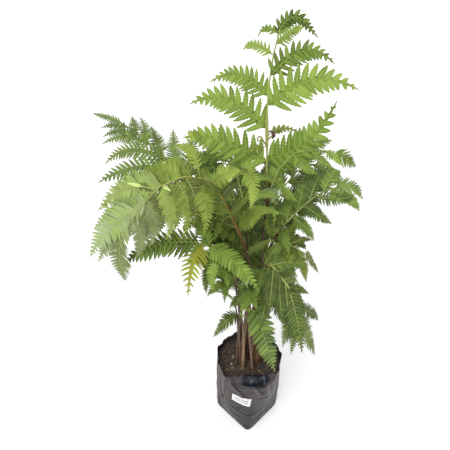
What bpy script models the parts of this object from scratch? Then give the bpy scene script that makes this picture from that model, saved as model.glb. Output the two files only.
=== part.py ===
import math
import random

import bpy
import numpy as np
from mathutils.bvhtree import BVHTree

# Potted rough tree fern. Metres, Z up; the origin is the middle of the bag's base on the floor.

# Soft planter bag: a rounded square foot with a corner to the front, a nearly round mouth.
BAG_HEIGHT = 0.220
BAG_WALL = 0.0010
BAG_FLOOR = 0.0014
FOOT_HALF_SIDE = 0.0667
FOOT_POWER = 6.0
MOUTH_RADIUS = 0.0820
LIP_FLARE = 0.0080
LIP_SAG = 0.0070
BAG_SEGMENTS = 24
BAG_LEVELS = (0.0, 0.008, 0.070, 0.150, 0.192, 0.205, 0.220)
DRAIN_RADIUS = 0.0032
DRAIN_HOLES = ((-152, 0.091), (-110, 0.098), (-48, 0.081), (62, 0.090), (130, 0.085))
# The front lip has sunk inward over the soil: middle bearing, half width, reach, height there.
FOLD_BEARING = -86
FOLD_HALF = 48
FOLD_FROM = 0.205
FOLD_REACH = 0.036
FOLD_TOP = 0.2165

# Blank sticker on the front left of the bag.
LABEL_WIDTH = 0.050
LABEL_HEIGHT = 0.033
LABEL_THICK = 0.0006
LABEL_PLACE = (-105, 0.142)
LABEL_TILT = -6

SEAT_GAP = 0.0003

SOIL_TOP = 0.202
SOIL_RINGS = (0.42, 0.75, 1.0)
HOLE_SIDES = 6
HOLE_ROOM = 0.0005

TRUNK_PLACE = (0.015, 0.0)
TRUNK_LEVELS = ((0.186, 0.0158), (0.205, 0.0168), (0.252, 0.0154), (0.325, 0.0150), (0.403, 0.0157))
TRUNK_RIBS = 8
TRUNK_RIB_DEPTH = 0.0016
STUB_RADIUS = 0.0036
# Old frond bases on the trunk: bearing in degrees, height, length.
TRUNK_STUBS = ((-78, 0.246, 0.018), (-42, 0.275, 0.016), (100, 0.262, 0.018),
               (172, 0.290, 0.017), (-100, 0.322, 0.016), (40, 0.345, 0.016))

# The photograph's view: focal length and middle in pixels, downward tilt in degrees, eye in metres.
VIEW_FOCAL = 466
VIEW_MIDDLE = 225
VIEW_TILT = 39.3
VIEW_EYE = (-0.062, -0.717, 1.244)

# One entry for each frond. foot = where the stalk stands; path = points up the stalk and rachis to the tip,
# each the picture's across and down and the depth y in metres; neck = where the bare brown stalk ends;
# leafy = where the blade at the end begins, of half width end_width; pairs, pinna, sweep, lift, droop =
# count, length and set of the pinnae placed by rule; roll = how far the frond's plane leans, in degrees;
# seen = pinnae as they lie in the picture: side, where it leaves the rachis, its middle, its tip.
FRONDS = {
    "01": {
        "foot": (0.015, 0.000, 0.392),
        "path": [
            (262, 250, 0.040), (266, 200, 0.060), (267, 160, 0.075), (267, 142, 0.082),
            (267, 114, 0.090), (269, 85, 0.100), (273, 58, 0.110), (277, 36, 0.115), (284, 23, 0.115),
            (296, 16, 0.110), (308, 26, 0.105), (318, 38, 0.100)],
        "neck": (266, 186), "leafy": (277, 34), "end_width": 0.015, "pairs": 0,
        "pinna": 0.200, "sweep": 22, "lift": 12, "droop": 0.42, "roll": 0, "heading": 75,
        "seen": [
            (-1, (266, 164), (222, 141), (183, 138)), (+1, (266, 160), (303, 144), (337, 101)),
            (-1, (266, 127), (231, 101), (190, 104)), (+1, (268, 105), (307, 81), (359, 90)),
            (-1, (268, 96), (242, 76), (210, 82)), (+1, (271, 74), (300, 52), (335, 64)),
            (-1, (271, 57), (256, 45), (243, 50)), (+1, (275, 42), (290, 33), (304, 27)),
            (-1, (277, 34), (267, 28), (258, 37))]},
    "02": {
        "foot": (-0.015, -0.0005, 0.191),
        "path": [
            (241, 340, 0.008), (240, 300, 0.030), (234, 255, 0.060), (220, 212, 0.090),
            (200, 182, 0.120), (182, 172, 0.135), (169, 162, 0.145), (155, 148, 0.160),
            (143, 138, 0.170), (132, 129, 0.180), (120, 122, 0.185), (106, 117, 0.185),
            (92, 113, 0.180)],
        "neck": (210, 195), "leafy": (122, 123), "end_width": 0.012, "pairs": 0,
        "pinna": 0.170, "sweep": 30, "lift": 6, "droop": 0.42, "roll": -15,
        "seen": [
            (-1, (196, 180), (145, 180), (102, 209)), (-1, (181, 171), (138, 168), (98, 183)),
            (-1, (167, 160), (135, 150), (105, 164)), (-1, (153, 146), (128, 137), (102, 144)),
            (-1, (141, 136), (121, 131), (103, 137)), (-1, (130, 128), (115, 125), (101, 128)),
            (+1, (205, 188), (214, 155), (222, 124)), (+1, (190, 176), (192, 152), (191, 134)),
            (+1, (174, 166), (174, 147), (173, 129)), (+1, (160, 153), (156, 139), (151, 126)),
            (+1, (148, 142), (145, 129), (140, 117)), (+1, (137, 133), (134, 124), (132, 116))]},
    "03": {
        "foot": (-0.0165, -0.013, 0.191),
        "path": [
            (243, 345, -0.012), (248, 310, -0.014), (252, 280, -0.016), (249, 262, -0.020),
            (242, 240, -0.030), (230, 212, -0.045), (213, 184, -0.060), (200, 176, -0.070),
            (185, 176, -0.080), (167, 181, -0.090), (149, 196, -0.100), (134, 216, -0.108),
            (125, 232, -0.112), (119, 255, -0.115), (125, 281, -0.120)],
        "neck": (251, 266), "leafy": (122, 243), "end_width": 0.030, "pairs": 0,
        "pinna": 0.180, "sweep": 30, "lift": 4, "droop": 0.42, "roll": -35,
        "seen": [
            (+1, (203, 177), (190, 150), (170, 150)), (+1, (185, 176), (158, 170), (130, 186)),
            (+1, (162, 184), (128, 188), (98, 211)), (+1, (148, 197), (118, 211), (93, 230)),
            (+1, (137, 211), (110, 229), (90, 257)), (+1, (129, 225), (112, 240), (98, 262)),
            (-1, (231, 212), (243, 200), (257, 189)), (-1, (210, 183), (223, 175), (241, 171)),
            (-1, (195, 175), (205, 200), (204, 235)), (-1, (177, 178), (188, 205), (183, 237)),
            (-1, (160, 185), (172, 212), (166, 240)), (-1, (148, 197), (155, 222), (149, 248)),
            (-1, (136, 213), (141, 238), (136, 258)), (+1, (242, 241), (226, 232), (206, 232)),
            (-1, (249, 256), (261, 245), (275, 240)), (+1, (249, 258), (233, 248), (214, 246)),
            (+1, (231, 214), (215, 207), (198, 205)), (-1, (237, 229), (250, 218), (264, 212)),
            (+1, (218, 191), (203, 190), (186, 196))]},
    "04": {
        "foot": (-0.0245, -0.007, 0.191),
        "path": [
            (240, 335, -0.004), (238, 300, -0.012), (230, 270, -0.030), (216, 250, -0.050),
            (200, 243, -0.065), (183, 242, -0.075), (165, 243, -0.083), (148, 250, -0.090),
            (134, 256, -0.093), (124, 264, -0.095)],
        "neck": (228, 268), "leafy": (198, 244), "end_width": 0.030, "pairs": 2,
        "pinna": 0.100, "sweep": 26, "lift": 2, "droop": 0.35, "roll": -20,
        "seen": [
            (-1, (203, 245), (193, 263), (188, 296)), (-1, (214, 252), (211, 272), (213, 293)),
            (-1, (209, 248), (234, 262), (260, 293)), (+1, (224, 258), (214, 238), (204, 224))]},
    "05": {
        "foot": (0.0246, 0.000, 0.392),
        "path": [
            (262, 290, 0.012), (263, 240, 0.020), (268, 200, 0.030), (278, 170, 0.040),
            (292, 154, 0.045), (308, 149, 0.045), (325, 150, 0.040), (342, 155, 0.030),
            (356, 167, 0.020)],
        "neck": (267, 205), "leafy": (335, 152), "end_width": 0.022, "pairs": 0,
        "pinna": 0.120, "sweep": 24, "lift": 3, "droop": 0.35, "roll": 12,
        "seen": [
            (-1, (272, 184), (281, 161), (292, 141)), (-1, (284, 162), (298, 149), (312, 137)),
            (+1, (275, 178), (284, 190), (298, 202)), (+1, (292, 154), (304, 166), (318, 174)),
            (+1, (308, 149), (322, 160), (333, 169)), (-1, (308, 149), (321, 143), (333, 140)),
            (+1, (325, 150), (336, 158), (344, 168))]},
    "06": {
        "foot": (0.0198, -0.0083, 0.392),
        "path": [
            (263, 290, -0.016), (267, 255, -0.010), (280, 230, -0.018), (295, 214, -0.025),
            (310, 200, -0.030), (325, 190, -0.035), (343, 185, -0.040), (356, 188, -0.045),
            (363, 199, -0.050)],
        "neck": (276, 236), "leafy": (335, 187), "end_width": 0.024, "pairs": 5,
        "pinna": 0.105, "sweep": 30, "lift": 4, "droop": 0.30, "roll": 15,
        "seen": [
            (+1, (292, 217), (305, 227), (314, 241)), (+1, (303, 206), (318, 215), (332, 224)),
            (+1, (316, 196), (337, 199), (355, 194))]},
    "07": {
        "foot": (0.039, -0.004, 0.191),
        "path": [
            (264, 330, -0.020), (264, 300, -0.034), (267, 270, -0.035), (278, 252, -0.050),
            (292, 244, -0.060), (304, 250, -0.068), (312, 262, -0.072), (319, 273, -0.076)],
        "neck": (268, 266), "leafy": (305, 251), "end_width": 0.012, "pairs": 4,
        "pinna": 0.080, "sweep": 24, "lift": 4, "droop": 0.25, "roll": 12,
        "seen": [
            (-1, (290, 245), (303, 239), (313, 241))]},
    "08": {
        "foot": (0.010, -0.0085, 0.392),
        "path": [
            (256, 305, -0.035), (259, 275, -0.060), (266, 262, -0.085), (277, 270, -0.110),
            (289, 288, -0.130), (299, 310, -0.145), (307, 333, -0.152), (315, 355, -0.155)],
        "neck": (262, 266), "leafy": (302, 320), "end_width": 0.022, "pairs": 5,
        "pinna": 0.090, "sweep": 34, "lift": 0, "droop": 0.30, "roll": 10,
        "seen": [
            (+1, (289, 288), (297, 320), (302, 353)), (-1, (284, 280), (293, 277), (300, 288)),
            (-1, (292, 294), (299, 298), (303, 308)), (+1, (281, 275), (280, 300), (283, 325))]},
    "09": {
        "foot": (0.0065, -0.0335, 0.191),
        "path": [
            (250, 345, -0.040), (249, 325, -0.056), (250, 312, -0.070), (254, 311, -0.090),
            (259, 322, -0.105), (264, 337, -0.115), (269, 353, -0.120), (275, 372, -0.122)],
        "neck": (252, 311), "leafy": (252, 311), "end_width": 0.030, "pairs": 0,
        "pinna": 0.100, "sweep": 28, "lift": 0, "droop": 0.42, "roll": 0,
        "seen": []},
    "10": {
        "foot": (0.005, -0.0002, 0.392),
        "path": [
            (248, 250, -0.002), (244, 205, -0.050), (238, 180, -0.075), (236, 170, -0.095),
            (244, 168, -0.115), (252, 176, -0.125), (254, 190, -0.133), (250, 211, -0.135)],
        "neck": (246, 236), "leafy": (236, 171), "end_width": 0.024, "pairs": 0,
        "pinna": 0.105, "sweep": 20, "lift": 4, "droop": 0.30, "roll": 0,
        "seen": [
            (-1, (245, 212), (262, 214), (282, 224)), (-1, (243, 199), (262, 194), (284, 200)),
            (-1, (239, 186), (256, 178), (276, 182)), (-1, (237, 175), (250, 165), (268, 160)),
            (+1, (238, 180), (228, 172), (215, 172))]},
    "11": {
        "foot": (-0.017, 0.0105, 0.191),
        "path": [
            (246, 300, 0.050), (243, 250, 0.085), (236, 205, 0.120), (226, 170, 0.150),
            (213, 148, 0.170), (200, 136, 0.185), (188, 130, 0.195)],
        "neck": (245, 285), "leafy": (207, 142), "end_width": 0.010, "pairs": 6,
        "pinna": 0.145, "sweep": 22, "lift": 4, "droop": 0.42, "roll": -12,
        "seen": []},
    "12": {
        "foot": (0.0198, 0.0083, 0.392),
        "path": [
            (268, 245, 0.085), (276, 205, 0.110), (288, 180, 0.130), (302, 168, 0.140),
            (318, 164, 0.150), (334, 170, 0.155), (346, 182, 0.155)],
        "neck": (264, 280), "leafy": (325, 166), "end_width": 0.014, "pairs": 5,
        "pinna": 0.145, "sweep": 24, "lift": 4, "droop": 0.30, "roll": 15,
        "seen": []},
    "13": {
        "foot": (-0.0235, -0.019, 0.191),
        "path": [
            (240, 348, -0.020), (239, 330, -0.032), (240, 319, -0.050), (237, 315, -0.062),
            (227, 320, -0.074), (213, 337, -0.082)],
        "neck": (240, 317), "leafy": (240, 317), "end_width": 0.020, "pairs": 0,
        "pinna": 0.045, "sweep": 25, "lift": 4, "droop": 0.42, "roll": 0,
        "seen": []},
    "14": {
        "foot": (-0.0165, -0.0225, 0.191),
        "path": [
            (243.5, 332, -0.032), (238, 300, -0.038), (234, 275, -0.050), (226, 262, -0.075),
            (216, 262, -0.095), (211, 275, -0.110), (213, 292, -0.120)],
        "neck": (237, 286), "leafy": (216, 262), "end_width": 0.012, "pairs": 5,
        "pinna": 0.105, "sweep": 24, "lift": 2, "droop": 0.32, "roll": -10,
        "seen": [
            (+1, (226, 262), (236, 268), (246, 285))]},
    "15": {
        "foot": (0.010, 0.0088, 0.392),
        "path": [
            (252, 260, 0.095), (254, 225, 0.135), (256, 198, 0.175), (258, 180, 0.210),
            (258, 170, 0.245)],
        "neck": (251, 292), "leafy": (257, 185), "end_width": 0.010, "pairs": 2,
        "pinna": 0.140, "sweep": 20, "lift": 2, "droop": 0.30, "roll": 0,
        "seen": []},
    "16": {
        "foot": (0.0025, -0.0235, 0.191),
        "path": [
            (253, 335, -0.028), (256, 300, -0.055), (260, 284, -0.085), (267, 284, -0.112),
            (274, 295, -0.130), (280, 308, -0.138), (286, 324, -0.142)],
        "neck": (258, 290), "leafy": (272, 291), "end_width": 0.022, "pairs": 5,
        "pinna": 0.100, "sweep": 30, "lift": 0, "droop": 0.35, "roll": 0,
        "seen": []},
    "17": {
        "foot": (-0.0315, -0.014, 0.191),
        "path": [
            (238, 335, -0.010), (236.5, 312, -0.024), (234, 302, -0.040), (230, 296, -0.056),
            (225, 292, -0.076), (215, 292, -0.084)],
        "neck": (237, 301), "leafy": (237, 301), "end_width": 0.022, "pairs": 0,
        "pinna": 0.045, "sweep": 25, "lift": 4, "droop": 0.42, "roll": 0,
        "seen": []},
    "18": {
        "foot": (-0.007, 0.017, 0.191),
        "path": [
            (247, 318, 0.030), (243, 280, 0.046), (234, 240, 0.058), (220, 210, 0.066),
            (203, 194, 0.070), (184, 190, 0.070), (166, 197, 0.066), (152, 210, 0.060)],
        "neck": (240, 262), "leafy": (163, 199), "end_width": 0.014, "pairs": 6,
        "pinna": 0.105, "sweep": 24, "lift": 4, "droop": 0.36, "roll": -16,
        "seen": []},
    "19": {
        "foot": (-0.004, 0.006, 0.191),
        "path": [
            (250, 318, 0.016), (249, 285, 0.022), (246, 250, 0.024), (238, 226, 0.020),
            (225, 214, 0.012), (210, 212, 0.004), (195, 218, -0.004), (183, 230, -0.010)],
        "neck": (247, 262), "leafy": (193, 219), "end_width": 0.012, "pairs": 5,
        "pinna": 0.095, "sweep": 24, "lift": 2, "droop": 0.36, "roll": -20,
        "seen": []},
}


# Fronds in the order in which their pinnae are set; later ones give way to earlier ones.
ORDER = ("01", "03", "02", "05", "06", "08", "04", "07", "16", "14", "09", "10", "12", "11", "15", "13",
         "17", "18", "19")

PATH_STEPS = 80
NECK_START = 0.125
TIP_SWEEP = 26
FACE_SHARE = 0.8
STALK_SIDES = 5
RACHIS_SIDES = 4
STRAIGHT_FOOT = (0.012, 0.030)
STALK_SEAT = (0, 0.013, 0.028)
STALK_STEP = 0.075
RACHIS_STEP = 0.044
STALK_FOOT_RADIUS = 0.0034
OTHER_FEET = {"02": 0.0039, "03": 0.0042, "11": 0.0037, "07": 0.0028,
              "09": 0.0022, "10": 0.0026, "13": 0.0022, "14": 0.0022, "16": 0.0022, "17": 0.0022,
              "18": 0.0028, "19": 0.0026}
NECK_RADIUS = 0.0022
TIP_RADIUS = 0.0009

LEAF_THICK = 0.0008
PINNA_STALK = 0.0045
COSTA = (0.0014, 0.0009)
NOTCH = 0.42
SEEN_PITCH = 0.040
FILL_PITCH = 0.048
END_PITCH = 0.027
PINNULE_REACH = 0.19
PINNULE_LEAN = 0.42
HOOK = 2.6
# A pinna that would touch another frond is lifted and swung by the first pair of angles that clears it.
BENDS = ((0, 0), (9, 0), (-9, 0), (0, 8), (0, -8), (17, 0), (-17, 0), (12, 12), (-12, 12), (12, -12),
         (-12, -12), (27, 0), (-27, 0), (24, 18), (-24, 18), (24, -18), (-24, -18), (40, 0), (-40, 0))
SHORTER = (1.0, 0.82, 0.66, 0.5)
CLEARANCE = 0.0012

YOUNG_RADIUS = 0.0017
CURL_STEP = 40
# Rolled young fronds on the tallest rachis: place on it, bearing, rise, stalk length, curl radius.
CROZIERS = ((0.575, 200, 50, 0.026, 0.0060), (0.592, 10, 34, 0.030, 0.0052))


UP = np.array((0, 0, 1.0))


def unit(v):
    return v / np.linalg.norm(v)


def sight(across, down):
    """Line of sight through a place in the picture."""
    tilt = math.radians(VIEW_TILT)
    ahead = np.array((0, math.cos(tilt), -math.sin(tilt)))
    above = np.array((0, math.sin(tilt), math.cos(tilt)))
    right = np.array((1.0, 0, 0))
    return ahead + (right * (across - VIEW_MIDDLE) - above * (down - VIEW_MIDDLE)) / VIEW_FOCAL


def spot(across, down, depth):
    """Point seen at a place in the picture, at the depth y."""
    ray = sight(across, down)
    return np.array(VIEW_EYE) + ray * (depth - VIEW_EYE[1]) / ray[1]


def onto(pixel, point):
    """The point moved straight across onto the line of sight through the pixel."""
    ray = unit(sight(*pixel))
    return np.array(VIEW_EYE) + ray * np.dot(point - VIEW_EYE, ray)


def in_picture(point):
    tilt = math.radians(VIEW_TILT)
    x, y, z = point - VIEW_EYE
    depth = y * math.cos(tilt) - z * math.sin(tilt)
    height = y * math.sin(tilt) + z * math.cos(tilt)
    return VIEW_MIDDLE + VIEW_FOCAL * x / depth, VIEW_MIDDLE - VIEW_FOCAL * height / depth


def turned(v, axis, degrees):
    a = math.radians(degrees)
    axis = unit(axis)
    return v * math.cos(a) + np.cross(axis, v) * math.sin(a) + axis * np.dot(axis, v) * (1 - math.cos(a))


def material(name, color, roughness):
    made = bpy.data.materials.new(name)
    made.use_nodes = True
    shader = made.node_tree.nodes["Principled BSDF"]
    shader.inputs["Base Color"].default_value = (*color, 1)
    shader.inputs["Roughness"].default_value = roughness
    made.diffuse_color = (*color, 1)
    return made


def solid(name, shape, paint=None, home=None):
    verts, faces = shape
    mesh = bpy.data.meshes.new(name)
    mesh.from_pydata([tuple(map(float, v)) for v in verts], [], faces)
    mesh.update()
    made = bpy.data.objects.new(name, mesh)
    (home or bpy.context.scene.collection).objects.link(made)
    if paint:
        mesh.materials.append(paint)
    return made


def joined(name, shapes, paint, mode="UNION", solver="MANIFOLD"):
    """First shape joined with, or cut by, all the others."""
    body = solid(name, shapes[0], paint)
    if len(shapes) == 1:
        return body
    others = bpy.data.collections.new(name + "_bits")
    bpy.context.scene.collection.children.link(others)
    for i, shape in enumerate(shapes[1:]):
        solid(f"{name}_bit{i}", shape, None, others)
    mod = body.modifiers.new("join", "BOOLEAN")
    mod.operation = mode
    mod.solver = solver
    mod.operand_type = "COLLECTION"
    mod.collection = others
    bpy.context.view_layer.update()
    done = bpy.data.meshes.new_from_object(body.evaluated_get(bpy.context.evaluated_depsgraph_get()))
    body.modifiers.clear()
    body.data = done
    done.name = name
    done.materials.clear()
    done.materials.append(paint)
    for bit in list(others.objects):
        bpy.data.objects.remove(bit)
    bpy.data.collections.remove(others)
    return body


def lathe(rings):
    """Closed skin over rings of equal count. Rising and falling walls share the way their diagonals lean."""
    n = len(rings[0])
    verts = [v for ring in rings for v in ring]
    faces = []
    for k in range(len(rings) - 1):
        falling = sum(v[2] for v in rings[k + 1]) < sum(v[2] for v in rings[k])
        for i in range(n):
            j = (i + 1) % n
            a, b, c, d = k * n + i, k * n + j, (k + 1) * n + j, (k + 1) * n + i
            faces += [(a, b, d), (b, c, d)] if falling else [(a, b, c), (a, c, d)]
    faces.append(tuple(reversed(range(n))))
    faces.append(tuple(range((len(rings) - 1) * n, len(rings) * n)))
    return verts, faces


def rod(points, radii, sides, tangents=None):
    """Tube along points, its ends square to the path."""
    points = np.asarray(points)
    if tangents is None:
        tangents = np.gradient(points, axis=0)
    tangents = tangents / np.linalg.norm(tangents, axis=1)[:, None]
    across = unit(np.cross(tangents[0], (0.31, 0.83, 0.11)))
    rings = []
    for p, t, r in zip(points, tangents, radii):
        across = unit(across - t * np.dot(across, t))
        up = np.cross(t, across)
        rings.append([p + r * (across * math.cos(a) + up * math.sin(a))
                      for a in (2 * math.pi * i / sides for i in range(sides))])
    return lathe(rings)


def bore(x, y, bottom, top, radius, sides):
    return rod([(x, y, bottom), (x, y, top)], (radius, radius), sides)


def bag_radius(angle, z):
    """Distance from the axis to the outside of the bag, at a bearing in radians."""
    k = min(z / BAG_HEIGHT, 1)
    a = angle - math.pi / 4
    square = abs(math.cos(a)) ** FOOT_POWER + abs(math.sin(a)) ** FOOT_POWER
    foot = FOOT_HALF_SIDE / square ** (1 / FOOT_POWER)
    folds = 0.0011 * math.sin(5 * angle + 0.6) + 0.0008 * math.sin(9 * angle + 7 * k)
    front = max(0, -math.sin(angle - 0.12)) ** 3
    flare = LIP_FLARE * front * max(0, (k - 0.82) / 0.18) ** 2
    belly = 0.0020 * math.sin(math.pi * k)
    blend = min(1, k / 0.85)
    return foot * (1 - blend) + MOUTH_RADIUS * blend + folds * k + flare + belly - 0.0012 * (1 - k) ** 8


def bag_ring(z, inset):
    ring = []
    over = max(0, (z - FOLD_FROM) / (BAG_HEIGHT - FOLD_FROM))
    for i in range(BAG_SEGMENTS):
        a = 2 * math.pi * i / BAG_SEGMENTS
        aside = (math.degrees(a) - FOLD_BEARING + 180) % 360 - 180
        fold = max(0, 1 - (aside / FOLD_HALF) ** 2) ** 0.75
        r = bag_radius(a, z) - inset - FOLD_REACH * fold * over
        sag = LIP_SAG * max(0, -math.sin(a - 0.12)) ** 3 * max(0, (z / BAG_HEIGHT - 0.93) / 0.07)
        top = z - sag + fold * over * (FOLD_TOP - z + sag)
        if z >= FOLD_FROM:
            top -= inset * 0.9 * fold
        ring.append((r * math.cos(a), r * math.sin(a), top))
    return ring


def inner_ring(z, gap):
    """Ring that keeps a gap to the inside of the faceted bag at any height."""
    levels = (BAG_FLOOR,) + BAG_LEVELS[1:]
    rings = [np.array(bag_ring(level, BAG_WALL + gap)) for level in levels]
    ring = []
    for corner in zip(*rings):
        xs, ys, zs = zip(*corner)
        ring.append((float(np.interp(z, zs, xs)), float(np.interp(z, zs, ys)), z))
    return ring


def bag_shape():
    outer = [bag_ring(z, 0) for z in BAG_LEVELS]
    inner = [bag_ring(z, BAG_WALL) for z in reversed(BAG_LEVELS[1:])]
    floor = [(x, y, BAG_FLOOR) for x, y, _ in bag_ring(BAG_FLOOR, BAG_WALL)]
    return lathe(outer + inner + [floor])


def drain_cutter(bearing, z):
    a = math.radians(bearing)
    out = np.array((math.cos(a), math.sin(a), 0))
    r = bag_radius(a, z)
    up = np.array((0, 0, z))
    return rod([out * (r - 0.006) + up, out * (r + 0.004) + up], (DRAIN_RADIUS, DRAIN_RADIUS), 6)


def label_shape():
    """Thin sheet wrapped over the wall, standing a hair off it."""
    bearing, height = LABEL_PLACE
    cols, rows = 6, 3
    tilt = math.radians(LABEL_TILT)
    layers = []
    for inset in (-SEAT_GAP * 1.6, -SEAT_GAP * 1.6 - LABEL_THICK):
        layer = []
        for j in range(rows):
            for i in range(cols):
                u = (i / (cols - 1) - 0.5) * LABEL_WIDTH
                v = (j / (rows - 1) - 0.5) * LABEL_HEIGHT
                u, v = u * math.cos(tilt) - v * math.sin(tilt), u * math.sin(tilt) + v * math.cos(tilt)
                z = height + v
                a = math.radians(bearing) + u / 0.0815
                r = bag_radius(a, z) - inset
                layer.append((r * math.cos(a), r * math.sin(a), z))
        layers.append(layer)
    verts = layers[0] + layers[1]
    top = cols * rows
    faces = []
    for j in range(rows - 1):
        for i in range(cols - 1):
            a, b, c, d = j * cols + i, j * cols + i + 1, (j + 1) * cols + i + 1, (j + 1) * cols + i
            faces += [(a, c, b), (a, d, c), (top + a, top + b, top + c), (top + a, top + c, top + d)]
    right = [j * cols + cols - 1 for j in range(1, rows)]
    far = [(rows - 1) * cols + i for i in range(cols - 2, -1, -1)]
    left = [j * cols for j in range(rows - 2, 0, -1)]
    edge = list(range(cols)) + right + far + left
    for a, b in zip(edge, edge[1:] + edge[:1]):
        faces.append((a, b, top + b, top + a))
    return verts, faces


def soil_shape():
    rng = random.Random("soil")
    gap = SEAT_GAP * 1.4
    rings = [inner_ring(z, gap) for z in (BAG_FLOOR + SEAT_GAP, *BAG_LEVELS[1:-1]) if z < SOIL_TOP - 0.005]
    for share in reversed(SOIL_RINGS):
        ring = []
        for x, y, z in inner_ring(SOIL_TOP - 0.004, gap + 0.0007):
            bump = 0 if share == 1 else rng.uniform(-0.0022, 0.0022)
            ring.append((x * share, y * share, z + 0.004 * (1 - share ** 4) + bump))
        rings.append(ring)
    return lathe(rings)


def trunk_shapes():
    rng = random.Random("trunk")
    x0, y0 = TRUNK_PLACE
    rings = []
    n = TRUNK_RIBS * 2
    for k, (z, radius) in enumerate(TRUNK_LEVELS):
        ring = []
        for i in range(n):
            a = 2 * math.pi * (i + 0.35 * k) / n
            r = radius - (TRUNK_RIB_DEPTH if (i % 2) else 0) + rng.uniform(-0.0004, 0.0004)
            ring.append((x0 + r * math.cos(a), y0 + r * math.sin(a), z))
        rings.append(ring)
    shapes = [lathe(rings)]
    for bearing, z, length in TRUNK_STUBS:
        a = math.radians(bearing)
        out = np.array((math.cos(a), math.sin(a), 0))
        start = np.array((x0, y0, z - 0.006)) + out * 0.009
        end = start + out * length * 0.62 + np.array((0, 0, length * 0.95))
        shapes.append(rod([start, (start + end) / 2 + out * 0.0012, end],
                          (STUB_RADIUS * 1.1, STUB_RADIUS, STUB_RADIUS * 0.75), 6))
    return shapes


def even_path(points):
    """Smooth curve through the points, sampled at even steps."""
    pts = np.array(points, float)
    at = np.concatenate([[0], np.cumsum(np.linalg.norm(np.diff(pts, axis=0), axis=1))])
    n = len(pts)
    slope = [(pts[min(i + 1, n - 1)] - pts[max(i - 1, 0)]) / (at[min(i + 1, n - 1)] - at[max(i - 1, 0)])
             for i in range(n)]
    fine = []
    for i in range(n - 1):
        h = at[i + 1] - at[i]
        for s in np.linspace(0, 1, 8, endpoint=False):
            fine.append((2 * s ** 3 - 3 * s * s + 1) * pts[i] + (s ** 3 - 2 * s * s + s) * h * slope[i]
                        + (3 * s * s - 2 * s ** 3) * pts[i + 1] + (s ** 3 - s * s) * h * slope[i + 1])
    fine = np.array(fine + [pts[-1]])
    run = np.concatenate([[0], np.cumsum(np.linalg.norm(np.diff(fine, axis=0), axis=1))])
    even = np.linspace(0, run[-1], PATH_STEPS + 1)
    return np.stack([np.interp(even, run, fine[:, k]) for k in range(3)], 1), run[-1]


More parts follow.
